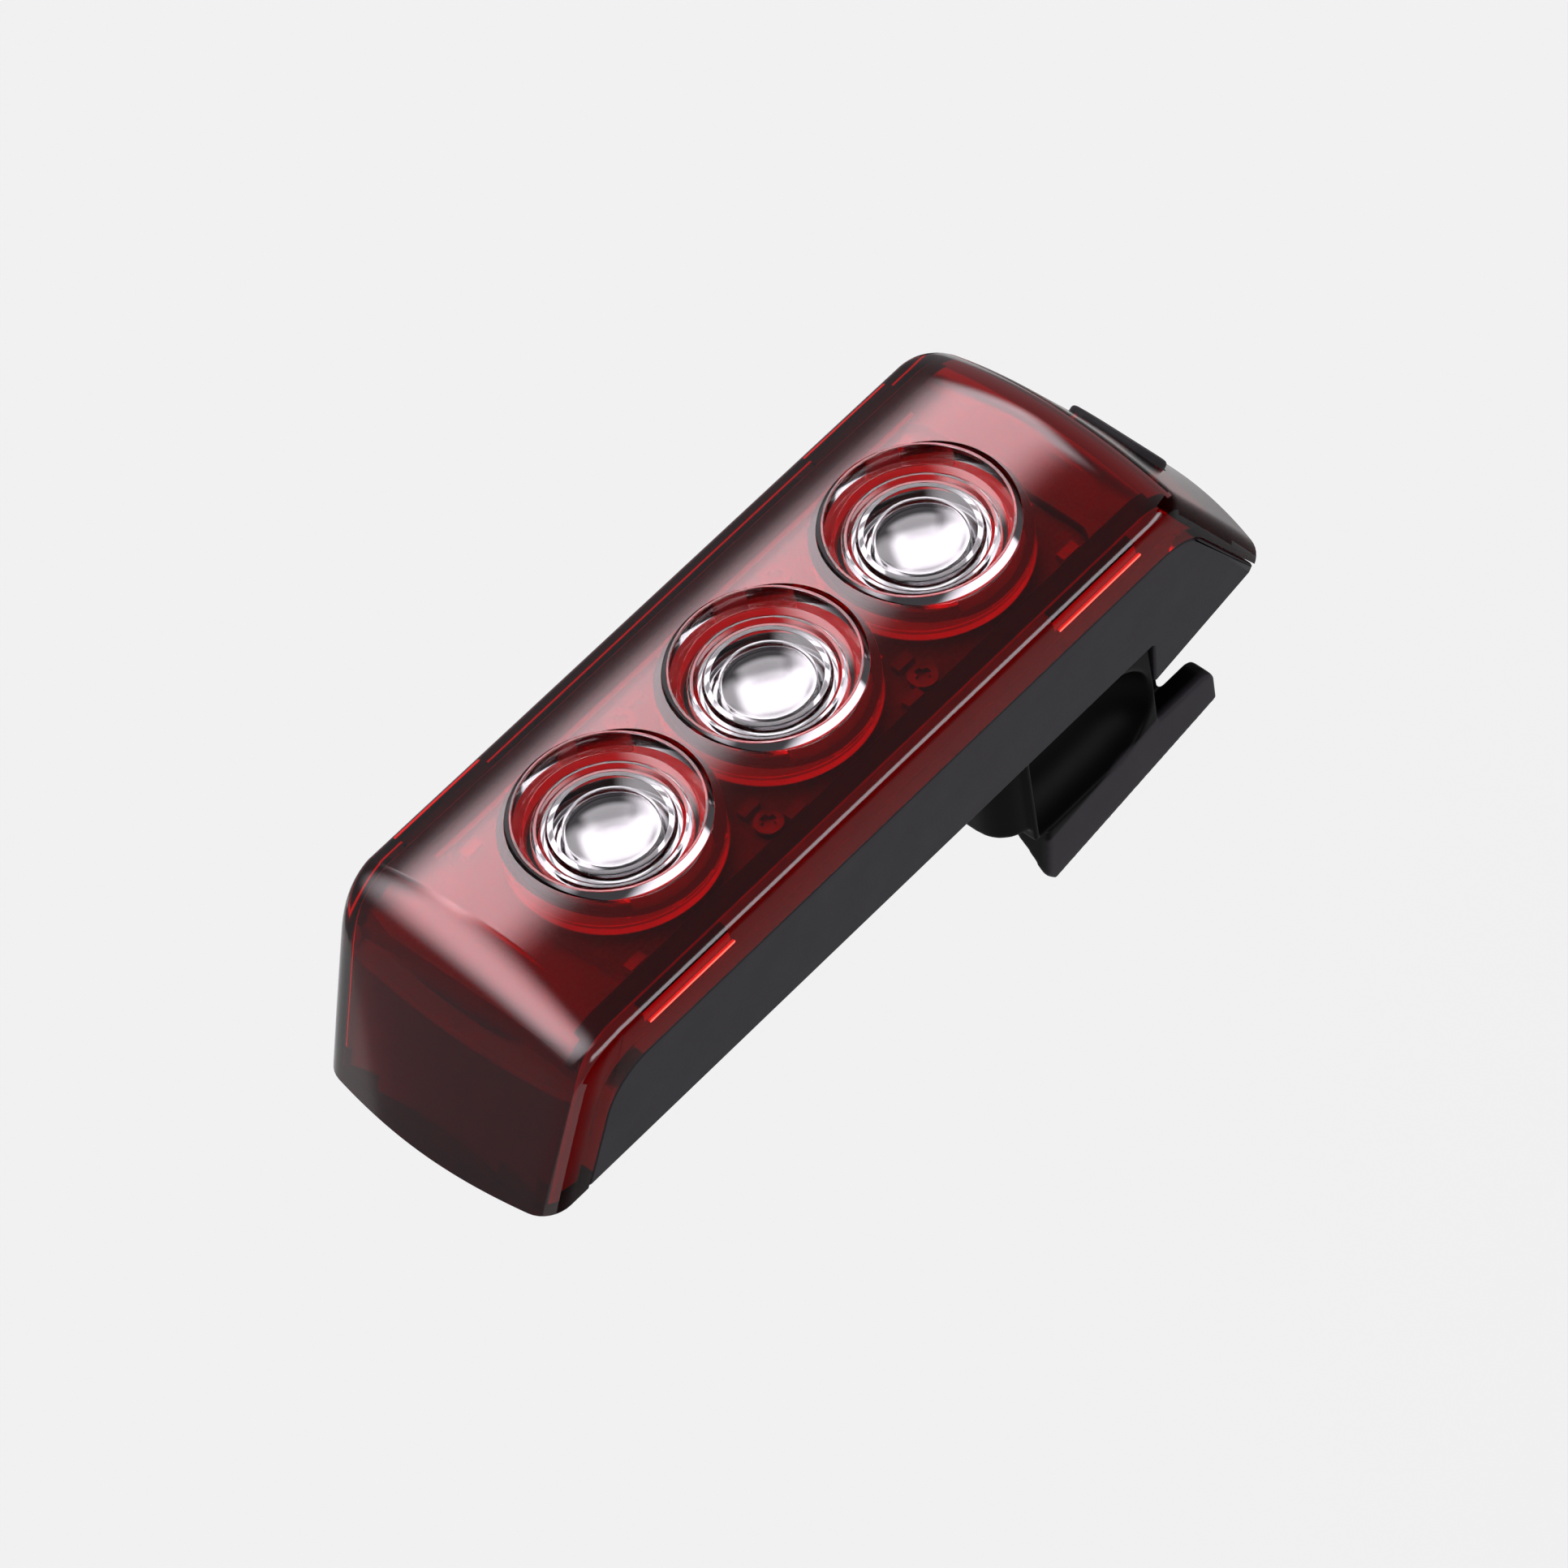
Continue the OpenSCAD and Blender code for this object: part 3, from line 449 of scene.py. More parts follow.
    def solid(self, inset: float, top_edge: float, end_edge: float) -> Shape:
        """Closed solid of the form, drawn in by an inset.

        Args:
            inset: How far all faces are drawn in.
            top_edge: Radius of the upper side edges.
            end_edge: Radius of the upright corners.

        Returns:
            The closed shape.
        """
        rows = []
        for st in self.outline(0.0, -self.near_len, self.far_len, self.near_round, self.far_round, inset):
            share = max(st.near, st.far)
            share = share * share * (3 - 2 * share)
            rows.append(self.row(st, inset, top_edge + (end_edge - top_edge) * share))
        n, m = len(rows), len(rows[0])
        faces = [
            [i * m + j, ((i + 1) % n) * m + j, ((i + 1) % n) * m + j + 1, i * m + j + 1]
            for i in range(n)
            for j in range(m - 1)
        ]
        faces.append([i * m for i in range(n)][::-1])
        faces.append([i * m + m - 1 for i in range(n)])
        shape = Shape()
        shape.add([v for r in rows for v in r], faces)
        return shape


class NodeKit:
    """Short calls for the nodes of one shader tree."""

    def __init__(self, tree: Tree) -> None:
        """Take the tree that the nodes go into."""
        self.nodes = tree.nodes
        self.link = tree.links.new

    def feed(self, node: Node, inputs: Inputs) -> Node:
        """Link or set inputs of a node.

        Args:
            node: Node to feed.
            inputs: A socket to link or a constant to set, by the input's name or number.

        Returns:
            The same node.
        """
        for key, value in inputs.items():
            if isinstance(value, Socket):
                self.link(value, node.inputs[key])
            else:
                node.inputs[key].default_value = value
        return node

    def new(self, kind: str, inputs: Inputs | None = None, **traits: object) -> Node:
        """Make a node.

        Args:
            kind: Type of the node without its leading ShaderNode.
            inputs: What goes into the node, as in feed.
            traits: Settings of the node, made before its inputs.

        Returns:
            The new node.
        """
        node = self.nodes.new("ShaderNode" + kind)
        for name, value in traits.items():
            setattr(node, name, value)
        return self.feed(node, inputs or {})

    def group(self, tree: Tree, inputs: Inputs) -> Node:
        """Make a node that holds a shared group."""
        return self.new("Group", inputs, node_tree=tree)

    def math(self, kind: str, *terms: Socket | float, clamp: bool = False) -> Socket:
        """Make one arithmetic step.

        Args:
            kind: Operation.
            terms: What the operation works on.
            clamp: Whether the result is kept between 0 and 1.

        Returns:
            The result.
        """
        return self.new("Math", dict(enumerate(terms)), operation=kind, use_clamp=clamp).outputs[0]

    def split(self, vector: Socket) -> tuple[Socket, ...]:
        """Parts of a vector along x, y and z."""
        return tuple(self.new("SeparateXYZ", {0: vector}).outputs)

    def ramp(
        self, value: Socket, span: tuple[object, object], ends: Point2 = (0.0, 1.0), smooth: bool = False
    ) -> Socket:
        """Make a clamped ramp.

        Args:
            value: What the ramp follows.
            span: Where the ramp starts and stops.
            ends: Result at the start and at the stop.
            smooth: Whether the ramp eases in and out.

        Returns:
            The result.
        """
        labels = ("Value", "From Min", "From Max", "To Min", "To Max")
        inputs = dict(zip(labels, (value, *span, *ends)))
        how = "SMOOTHSTEP" if smooth else "LINEAR"
        return self.new("MapRange", inputs, interpolation_type=how).outputs["Result"]

    def mix(self, share: Socket, a: object, b: object, kind: str = "RGBA") -> Socket:
        """Mix two colours, or two numbers with kind FLOAT.

        Args:
            share: Share of the second one.
            a: First one.
            b: Second one.
            kind: What is mixed.

        Returns:
            The mixture.
        """
        return self.new("Mix", {"Factor": share, "A": a, "B": b}, data_type=kind).outputs["Result"]


class GroupKit(NodeKit):
    """Nodes of a new group with its sockets."""

    def __init__(self, name: str, inputs: dict[str, str], outputs: dict[str, str]) -> None:
        """Make the group.

        Args:
            name: Name of the group.
            inputs: Socket type of each input; each use of the group sets its value.
            outputs: Socket type of each output.
        """
        self.tree = bpy.data.node_groups.new(name, "ShaderNodeTree")
        super().__init__(self.tree)
        for side, sockets in (("INPUT", inputs), ("OUTPUT", outputs)):
            for label, kind in sockets.items():
                self.tree.interface.new_socket(name=label, in_out=side, socket_type=kind)
        self.given = self.nodes.new("NodeGroupInput").outputs
        self.result = self.nodes.new("NodeGroupOutput")


class Groups:
    """Shader node groups that several finishes share."""

    broad_share = 0.06
    least_ahead = 0.05

    def __init__(self) -> None:
        """Build each group once."""
        self.grain = self._grain()
        self.drift = self._drift()
        self.softbox = self._softbox()

    def _grain(self) -> Tree:
        """Fine moulded grain: a height for bump and a roughness that varies with it."""
        kit = GroupKit(
            "moulded_grain",
            {"Scale": REAL, "Roughness": REAL, "Spread": REAL},
            {"Roughness": REAL, "Height": REAL},
        )
        place, scale = kit.new("TexCoord").outputs["Object"], kit.given["Scale"]
        slow = kit.math("MULTIPLY", scale, self.broad_share)
        fine = kit.new("TexNoise", {"Vector": place, "Scale": scale, "Detail": 4.0}).outputs["Fac"]
        broad = kit.new("TexNoise", {"Vector": place, "Scale": slow, "Detail": 2.0}).outputs["Fac"]
        off = kit.math("SUBTRACT", kit.math("ADD", fine, broad), 1.0)
        rough = kit.math("MULTIPLY_ADD", off, kit.given["Spread"], kit.given["Roughness"], clamp=True)
        kit.feed(kit.result, {"Roughness": rough, "Height": fine})
        return kit.tree

    @staticmethod
    def _drift() -> Tree:
        """Slow drift between two colours over the surface."""
        kit = GroupKit("colour_drift", {"Color": COLOR, "Drift": COLOR, "Scale": REAL}, {"Color": COLOR})
        place = kit.new("TexCoord").outputs["Object"]
        noise = kit.new("TexNoise", {"Vector": place, "Scale": kit.given["Scale"], "Detail": 5.0})
        color = kit.mix(noise.outputs["Fac"], kit.given["Color"], kit.given["Drift"])
        kit.feed(kit.result, {"Color": color})
        return kit.tree

    def _softbox(self) -> Tree:
        """Soft-edged window in the sky, as a mask over directions."""
        inputs = dict.fromkeys(WINDOW_AXES, VECTOR) | dict.fromkeys(WINDOW_SIZES, REAL)
        kit = GroupKit("softbox_window", inputs, {"Mask": REAL})
        view, given = kit.new("TexCoord").outputs["Generated"], kit.given

        def along(label: str) -> Socket:
            """Share of the view direction along one of the window's axes."""
            node = kit.new("VectorMath", {0: view, 1: given[label]}, operation="DOT_PRODUCT")
            return node.outputs["Value"]

        ahead = kit.math("MAXIMUM", along("Direction"), self.least_ahead)

        def window(label: str, size: str) -> Socket:
            """Soft step at both edges along one axis."""
            off = kit.math("ABSOLUTE", kit.math("DIVIDE", along(label), ahead))
            low, high = (kit.math(kind, given[size], given["Softness"]) for kind in ("SUBTRACT", "ADD"))
            return kit.ramp(off, (low, high), (1.0, 0.0), smooth=True)

        mask = kit.math("MULTIPLY", window("Side", "Half Width"), window("Up", "Half Height"))
        kit.feed(kit.result, {"Mask": mask})
        return kit.tree


@dataclass(frozen=True)
class Finish:
    """A solid or see-through finish with fine grain and a slow drift in colour."""

    name: str
    color: Color
    drift: Color
    roughness: float = 0.5
    spread: float = 0.1
    grain: float = 3000.0
    depth: float = 0.000004
    drift_scale: float = 300.0
    metallic: float = 0.0
    transmission: float = 0.0
    ior: float = 1.5
    specular: float = 0.5
    # glow is painted light: emission on parts that are no lamp, standing in for glints
    glow: float = 0.0
    depth_color: Color = (1.0, 1.0, 1.0)
    depth_density: float = 0.0

    def build(self, groups: Groups) -> bpy.types.Material:
        """Make the material.

        Args:
            groups: Shared node groups.

        Returns:
            The new material.
        """
        mat = bpy.data.materials.new(self.name)
        mat.use_nodes = True
        kit = NodeKit(mat.node_tree)
        shader = kit.nodes["Principled BSDF"]
        grain = kit.group(
            groups.grain, {"Scale": self.grain, "Roughness": self.roughness, "Spread": self.spread}
        ).outputs
        colors = {"Color": (*self.color, 1.0), "Drift": (*self.drift, 1.0), "Scale": self.drift_scale}
        drift = kit.group(groups.drift, colors).outputs["Color"]
        kit.feed(
            shader,
            {
                "Base Color": self.paint(kit, drift),
                "Metallic": self.metallic,
                "Roughness": grain["Roughness"],
                "IOR": self.ior,
                "Specular IOR Level": self.specular,
                "Transmission Weight": self.transmission,
            },
        )
        if self.depth > 0:
            bump = kit.new("Bump", {"Distance": self.depth, "Strength": 1.0, "Height": grain["Height"]})
            kit.feed(shader, {"Normal": bump.outputs["Normal"]})
        # painted glow
        if self.glow > 0:
            kit.feed(shader, {"Emission Color": self.light(kit), "Emission Strength": self.glow})
        if self.depth_density > 0:
            tint = {"Color": (*self.depth_color, 1.0), "Density": self.depth_density}
            volume = kit.new("VolumeAbsorption", tint).outputs["Volume"]
            kit.feed(kit.nodes["Material Output"], {"Volume": volume})
        return mat

    def paint(self, kit: NodeKit, color: Socket) -> Socket:
        """Colour of the surface.

        Args:
            kit: Nodes of the material; not used here.
            color: Colour that drifts over the surface.

        Returns:
            The colour that the shader takes.
        """
        return color

    def light(self, kit: NodeKit) -> object:
        """Colour of the painted glow.

        Args:
            kit: Nodes of the material; not used here.

        Returns:
            A plain colour, or a socket that gives one.
        """
        return (*self.color, 1.0)


@dataclass(frozen=True)
class BoardFinish(Finish):
    """Circuit board: a dark mask with a net of paler tracks under it."""

    track: Color = (0.09, 0.06, 0.05)
    track_scale: float = 420.0
    track_width: float = 0.018
    track_soft: float = 0.1
    pad_share: float = 0.15

    def paint(self, kit: NodeKit, color: Socket) -> Socket:
        """Lay the tracks over the board's colour; see Finish.paint."""
        net = {
            "Vector": kit.new("TexCoord").outputs["Object"],
            "Scale": self.track_scale,
            "Mortar Size": self.track_width,
            "Mortar Smooth": self.track_soft,
            "Color1": BLACK,
            "Color2": (self.pad_share,) * 3 + (1.0,),
            "Mortar": WHITE,
        }
        return kit.mix(kit.new("TexBrick", net).outputs["Color"], color, (*self.track, 1.0))


@dataclass(frozen=True)
class ShadedFootFinish(Finish):
    """Satin plastic with painted shade: darker inside the strap channels and above the fins, where shade
    falls.
    """

    # inner is the colour of the painted shade.
    inner: Color = (0.0008, 0.0008, 0.0009)
    shade_full_y: float = 9.9
    shade_free_y: float = 10.55
    fin_top: float = 11.73
    fin_slope: float = tan(radians(8.8))
    fin_edge: float = 0.3

    def paint(self, kit: NodeKit, color: Socket) -> Socket:
        """Paint shade: darken the surface inside the strap channels, towards the middle, and above the fins'
        upper edges; see Finish.paint.
        """
        x, y, z = kit.split(kit.new("TexCoord").outputs["Object"])
        unshaded_side = kit.ramp(kit.math("ABSOLUTE", y), (self.shade_full_y * MM, self.shade_free_y * MM))
        rise = kit.math("MULTIPLY_ADD", x, -self.fin_slope, z)
        unshaded_below_fin = kit.ramp(rise, (self.fin_top * MM, (self.fin_top + self.fin_edge) * MM), (1.0, 0.0))
        # painted shade: mix towards the inner colour in the channels and above the fins
        return kit.mix(kit.math("MULTIPLY", unshaded_side, unshaded_below_fin), (*self.inner, 1.0), color)


@dataclass(frozen=True)
class GlintGuideFinish(Finish):
    """Light guide with a painted glint: a thin line in the middle of its outer faces glows."""

    line: float = 0.2
    line_fade: float = 1.6
    # colour of the painted glint
    glint_beam: Color = (1.0, 0.10, 0.05)

    def light(self, kit: NodeKit) -> object:
        """Let only the line glow, as a painted glint; see Finish.light."""
        coord = kit.new("TexCoord").outputs
        height, facing = kit.split(coord["Generated"])[2], kit.split(coord["Normal"])[1]
        gap = kit.math("ABSOLUTE", kit.math("SUBTRACT", height, 0.5))
        strip = kit.ramp(gap, (self.line, self.line_fade * self.line), (1.0, 0.0), smooth=True)
        mask = kit.math("MULTIPLY", strip, kit.math("ABSOLUTE", facing))
        return kit.mix(mask, BLACK, (*self.glint_beam, 1.0))


RED_CLEAR = {"grain": 900.0, "depth": 0.0, "transmission": 1.0}
RED_CLEAR |= {"depth_color": (0.92, 0.1, 0.14), "depth_density": 900.0}
FINISHES = (
    Finish("cover_red", (0.96, 0.012, 0.030), (0.90, 0.009, 0.022), 0.10, 0.03, **RED_CLEAR),
    # cover_side_shaded and cover_end_shaded are darker, shaded copies of cover_red: painted shade, with a
    # low IOR that weakens their reflections
    Finish("cover_side_shaded", (0.42, 0.006, 0.014), (0.36, 0.005, 0.011), 0.10, 0.03, ior=1.10, **RED_CLEAR),
    Finish("cover_end_shaded", (0.40, 0.020, 0.035), (0.34, 0.016, 0.028), 0.14, 0.04, ior=1.04, **RED_CLEAR),
    Finish("housing_black", (0.0078, 0.0072, 0.0088), (0.0110, 0.0102, 0.0122), 0.46, 0.08, 5200.0,
           0.000006, specular=0.07),
    # foot_black carries painted shade in the strap channels and above the fins
    ShadedFootFinish("foot_black", (0.014, 0.013, 0.015), (0.019, 0.018, 0.020), 0.40, 0.08, 4200.0,
               specular=0.03),
    Finish("lens_clear", (1.0, 1.0, 1.0), (0.985, 0.99, 1.0), 0.008, 0.004, 500.0, 0.0,
           transmission=1.0, ior=1.49),
    Finish("lens_silver", (0.19, 0.185, 0.19), (0.16, 0.155, 0.16), 0.07, 0.03, 800.0, 0.0, metallic=1.0),
    Finish("rubber_black", (0.011, 0.010, 0.011), (0.016, 0.015, 0.016), 0.58, 0.12, 3600.0, 0.000006,
           specular=0.05),
    Finish("gasket_grey", (0.05, 0.05, 0.053), (0.035, 0.035, 0.038), 0.7),
    Finish("lens_seat", (0.70, 0.010, 0.012), (0.60, 0.008, 0.010), 0.4),
    Finish("boss_red", (0.45, 0.012, 0.014), (0.38, 0.010, 0.012), 0.4),
    # inner_wall_shade is an opaque darker red on the inner side walls: painted shade
    Finish("inner_wall_shade", (0.30, 0.008, 0.011), (0.22, 0.006, 0.008), specular=0.1),
    # cover_painted_shade is painted shade on the cover's back edge and the strips under its upper edges
    Finish("cover_painted_shade", (0.020, 0.003, 0.004), (0.015, 0.002, 0.003), specular=0.1),
    # seal_red glows faintly: a painted glint on the lens seals
    Finish("seal_red", (0.42, 0.02, 0.015), (0.34, 0.015, 0.010), 0.4, glow=0.10),
    # seal_glint_red and rail_glint_red glow: painted glints on the beads of the seals and rails
    Finish("seal_glint_red", (0.95, 0.06, 0.04), (0.85, 0.05, 0.03), 0.4, glow=0.9),
    Finish("rail_glint_red", (0.45, 0.02, 0.02), (0.35, 0.015, 0.015), 0.4, glow=0.07),
    # guide_line glows: painted glints along the side guides
    Finish("guide_line", (0.95, 0.06, 0.032), (0.85, 0.05, 0.026), 0.3, 0.05, glow=0.7),
    Finish("frame_dark", (0.030, 0.011, 0.013), (0.040, 0.014, 0.016), 0.4, specular=0.3),
    BoardFinish("board", (0.050, 0.040, 0.040), (0.075, 0.055, 0.052), specular=0.3),
    Finish("emitter", (0.9, 0.86, 0.62), (0.8, 0.7, 0.4), 0.25, 0.05),
    Finish("led_dim", (0.16, 0.13, 0.08), (0.10, 0.08, 0.05), 0.35, 0.08),
    Finish("chip", (0.10, 0.09, 0.085), (0.05, 0.05, 0.05)),
    Finish("screw_dark", (0.08, 0.07, 0.07), (0.05, 0.05, 0.05), 0.4, metallic=1.0),
    Finish("screw_steel", (0.62, 0.62, 0.64), (0.5, 0.5, 0.52), 0.3, 0.12, metallic=1.0),
    # guide_red glows along a thin line: a painted glint on the light guides
    GlintGuideFinish("guide_red", (0.10, 0.006, 0.004), (0.08, 0.005, 0.003), 0.3, 0.05, glow=1.6),
    Finish("cell_foil", (0.68, 0.69, 0.71), (0.6, 0.61, 0.64), 0.32, 0.12, 1500.0, 0.00001, metallic=1.0),
    Finish("foam", (0.05, 0.05, 0.055), (0.03, 0.03, 0.033), 0.85, 0.1, 2500.0, 0.00003),
    Finish("wire_red", (0.5, 0.03, 0.03), (0.42, 0.02, 0.02), 0.45),
    Finish("connector", (0.82, 0.80, 0.72), (0.74, 0.72, 0.64), 0.45),
    Finish("socket_steel", (0.66, 0.67, 0.69), (0.55, 0.56, 0.58), 0.25, metallic=1.0),
    Finish("ribbon", (0.55, 0.28, 0.07), (0.45, 0.22, 0.05), 0.35),
    Finish("switch_grey", (0.2, 0.2, 0.21), (0.15, 0.15, 0.16), 0.45),
)


class Palette:
    """All finishes of the light, built once each."""

    def __init__(self) -> None:
        """Build the shared groups and every finish."""
        self.groups = Groups()
        self.made = {f.name: f.build(self.groups) for f in FINISHES}

    def dress(self, obj: Obj, *names: str) -> None:
        """Give an object its finishes.

        Args:
            obj: Object to dress.
            names: Finish of each material slot.
        """
        held = obj.data.materials
        for k, name in enumerate(names):
            if k < len(held):
                held[k] = self.made[name]
            else:
                held.append(self.made[name])


@dataclass
class LensCover:
    """Red see-through cover with lens bores, guide pockets and the button's opening."""

    form: BodyForm = BodyForm()
    wall: float = 1.6
    inner_edge: float = 0.4
    seam_z: float = 7.0
    seam_r: float = 5.0
    near_band: float = 5.05
    far_band: float = 3.13
    block_x: float = 26.5
    far_back_z: float = 18.28
    back_slope: float = radians(12.5)
    boss_r: float = 7.9
    seat_d: float = 2.6
    bore_r: float = 7.32
    button_z: float = 10.5
    button_w: float = 8.8
    button_h: float = 4.5
    guide: Point3 = (8.66, 1.36, 0.86)
    guide_in: float = 0.15
    far_off: float = 60.0
    cut_half: float = 30.0
    above: float = 2.0
    bore_past: float = 0.5
    shade_edge: float = 1.3
    shade_y: float = 9.25
    near_gap: float = 0.05
    back_gap: float = 0.1
    wall_share: float = 0.9
    side_tilt: float = 0.8
    flat_tilt: float = 0.9
    half_tilt: float = 0.5
    end_tilt: float = 0.72
    corner_tilt: Point2 = (0.3, 0.35)
    sharp: float = 32.0

    def seam_line(self) -> list[Point2]:
        """Side outline of the seam between cover and housing."""
        near, far = self.near_band - self.form.near_len, self.form.far_len - self.far_band
        stations = self.form.outline(-self.seam_z, near, far, self.seam_r, self.seam_r, 0.0)
        line = [(s.x, s.z) for s in stations]
        lean_n, lean_f = tan(self.form.near_lean), tan(self.form.far_lean)
        low = self.far_off / 2
        (x0, z0), (x1, z1) = line[0], line[-1]
        return [(x0 - (low + z0) * lean_n, -low), *line, (x1 + (low + z1) * lean_f, -low)]

    def back_line(self) -> list[Point2]:
        """Side outline of what lies behind the back."""
        far = self.far_off

        def back(x: float) -> float:
            """Level of the sloped far back."""
            return -self.far_back_z - (self.form.far_len - x) * tan(self.back_slope)

        return [
            (-far, -self.form.height),
            (self.block_x, -self.form.height),
            (self.block_x, back(self.block_x)),
            (far, back(far)),
            (far, -far),
            (-far, -far),
        ]

    def button_opening(self) -> Shape:
        """Oval opening in the far end face."""
        lean = self.form.far_lean
        face = self.form.far_len - (self.form.height - self.button_z) * tan(lean)
        out = Vector((cos(lean), 0.0, sin(lean)))
        down = Vector((sin(lean), 0.0, -cos(lean)))
        side = Vector((0.0, 1.0, 0.0))
        centre = Vector((face, 0.0, -self.button_z))
        r, run = self.button_h / 2, (self.button_w - self.button_h) / 2
        ring = []
        for a in turns(64):
            shift = run if sin(a) >= 0 else -run
            ring.append(down * (r * cos(a)) + side * (r * sin(a) + shift))
        shape = Shape()
        ends = [[centre + p + out * (d * self.wall) for p in ring] for d in (-2, 1)]
        shape.prism(*ends)
        return shape

    def slot_of(self, face: bpy.types.MeshPolygon) -> CoverFace:
        """Material slot of one face of the cover.

        Args:
            face: Face of the finished cover.

        Returns:
            The slot; the back edge and the strips under the upper edges are painted dark as shade.
        """
        c, n = face.center, face.normal
        steep, half = abs(n.y) > self.side_tilt, self.form.half_at(c.z)
        if steep and abs(c.y) > half - self.wall / 4:
            return CoverFace.SIDE
        gap = min(hypot(c.x - x, c.y) for x in LENS_ROW.values())
        ring = self.bore_r + self.near_gap < gap < self.boss_r + self.near_gap
        if ring and c.z < -self.form.top_edge:
            return CoverFace.BOSS
        # painted shade on the strips under the upper edges
        if n.z < -self.half_tilt and c.z > -self.seam_z and abs(c.y) > self.shade_y:
            return CoverFace.DARK
        inner, low = n.x * c.x + n.y * c.y < 0, c.z + self.form.height
        # painted shade on the inner side walls
        if inner and steep and abs(c.y) < half - self.wall_share * self.wall:
            return CoverFace.INNER_SIDE
        corner = n.x > self.corner_tilt[0] and abs(n.y) > self.corner_tilt[1]
        if not inner and c.x > self.block_x and (n.x > self.end_tilt or corner):
            return CoverFace.FAR_END
        # painted shade on the back edge and the inner foot of the near end
        edge = n.z < -self.flat_tilt and low < self.back_gap
        foot = inner and n.x > self.half_tilt and low < self.shade_edge
        return CoverFace.DARK if edge or foot else CoverFace.TOP

    def build(self, origin: Vector, palette: Palette) -> Obj:
        """Make the cover.

        Args:
            origin: Place of the lens row's origin in the shared frame.
            palette: All finishes.

        Returns:
            The cover as one solid.
        """
        rows = LENS_ROW.values()
        hollow = self.form.solid(self.wall, self.inner_edge, self.inner_edge).to_object("hollow")
        for px in rows:
            boss = Shape()
            boss.disc_stack((px, 0.0), self.boss_r, -self.seat_d, self.above, 128)
            carve(hollow, boss)
        cover = self.form.solid(0.0, self.form.top_edge, self.form.end_edge).to_object("cover_shell")
        room = Shape()
        corners = [v.co.copy() for v in hollow.data.vertices]
        room.add(corners, [list(p.vertices) for p in hollow.data.polygons])
        carve(cover, room)
        discard(hollow)
        for line in (self.seam_line(), self.back_line()):
            cut = Shape()
            cut.across(line, self.cut_half)
            carve(cover, cut)
        holes = Shape()
        for px in rows:
            holes.disc_stack((px, 0.0), self.bore_r, -self.seat_d - self.bore_past, self.above, 160)
        carve(cover, holes)
        carve(cover, self.button_opening())
        slots = Shape()
        half = Vector(self.guide) / 2
        wall_y = self.form.half_at(GUIDE_Z) - self.wall + self.guide_in
        for sx, sy in CORNERS:
            mid = Vector((sx * GUIDE_X, sy * wall_y, GUIDE_Z))
            slots.box(mid - half, mid + half)
        carve(cover, slots)
        for p in cover.data.polygons:
            p.material_index = self.slot_of(p)
        settle(cover, origin, self.sharp)
        # the side, far-end, dark and inner-wall slots carry painted shade
        palette.dress(cover, "cover_red", "cover_side_shaded", "boss_red", "cover_painted_shade", "cover_end_shaded", "inner_wall_shade")
        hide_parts("lens_cover")
        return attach(cover, BODY)


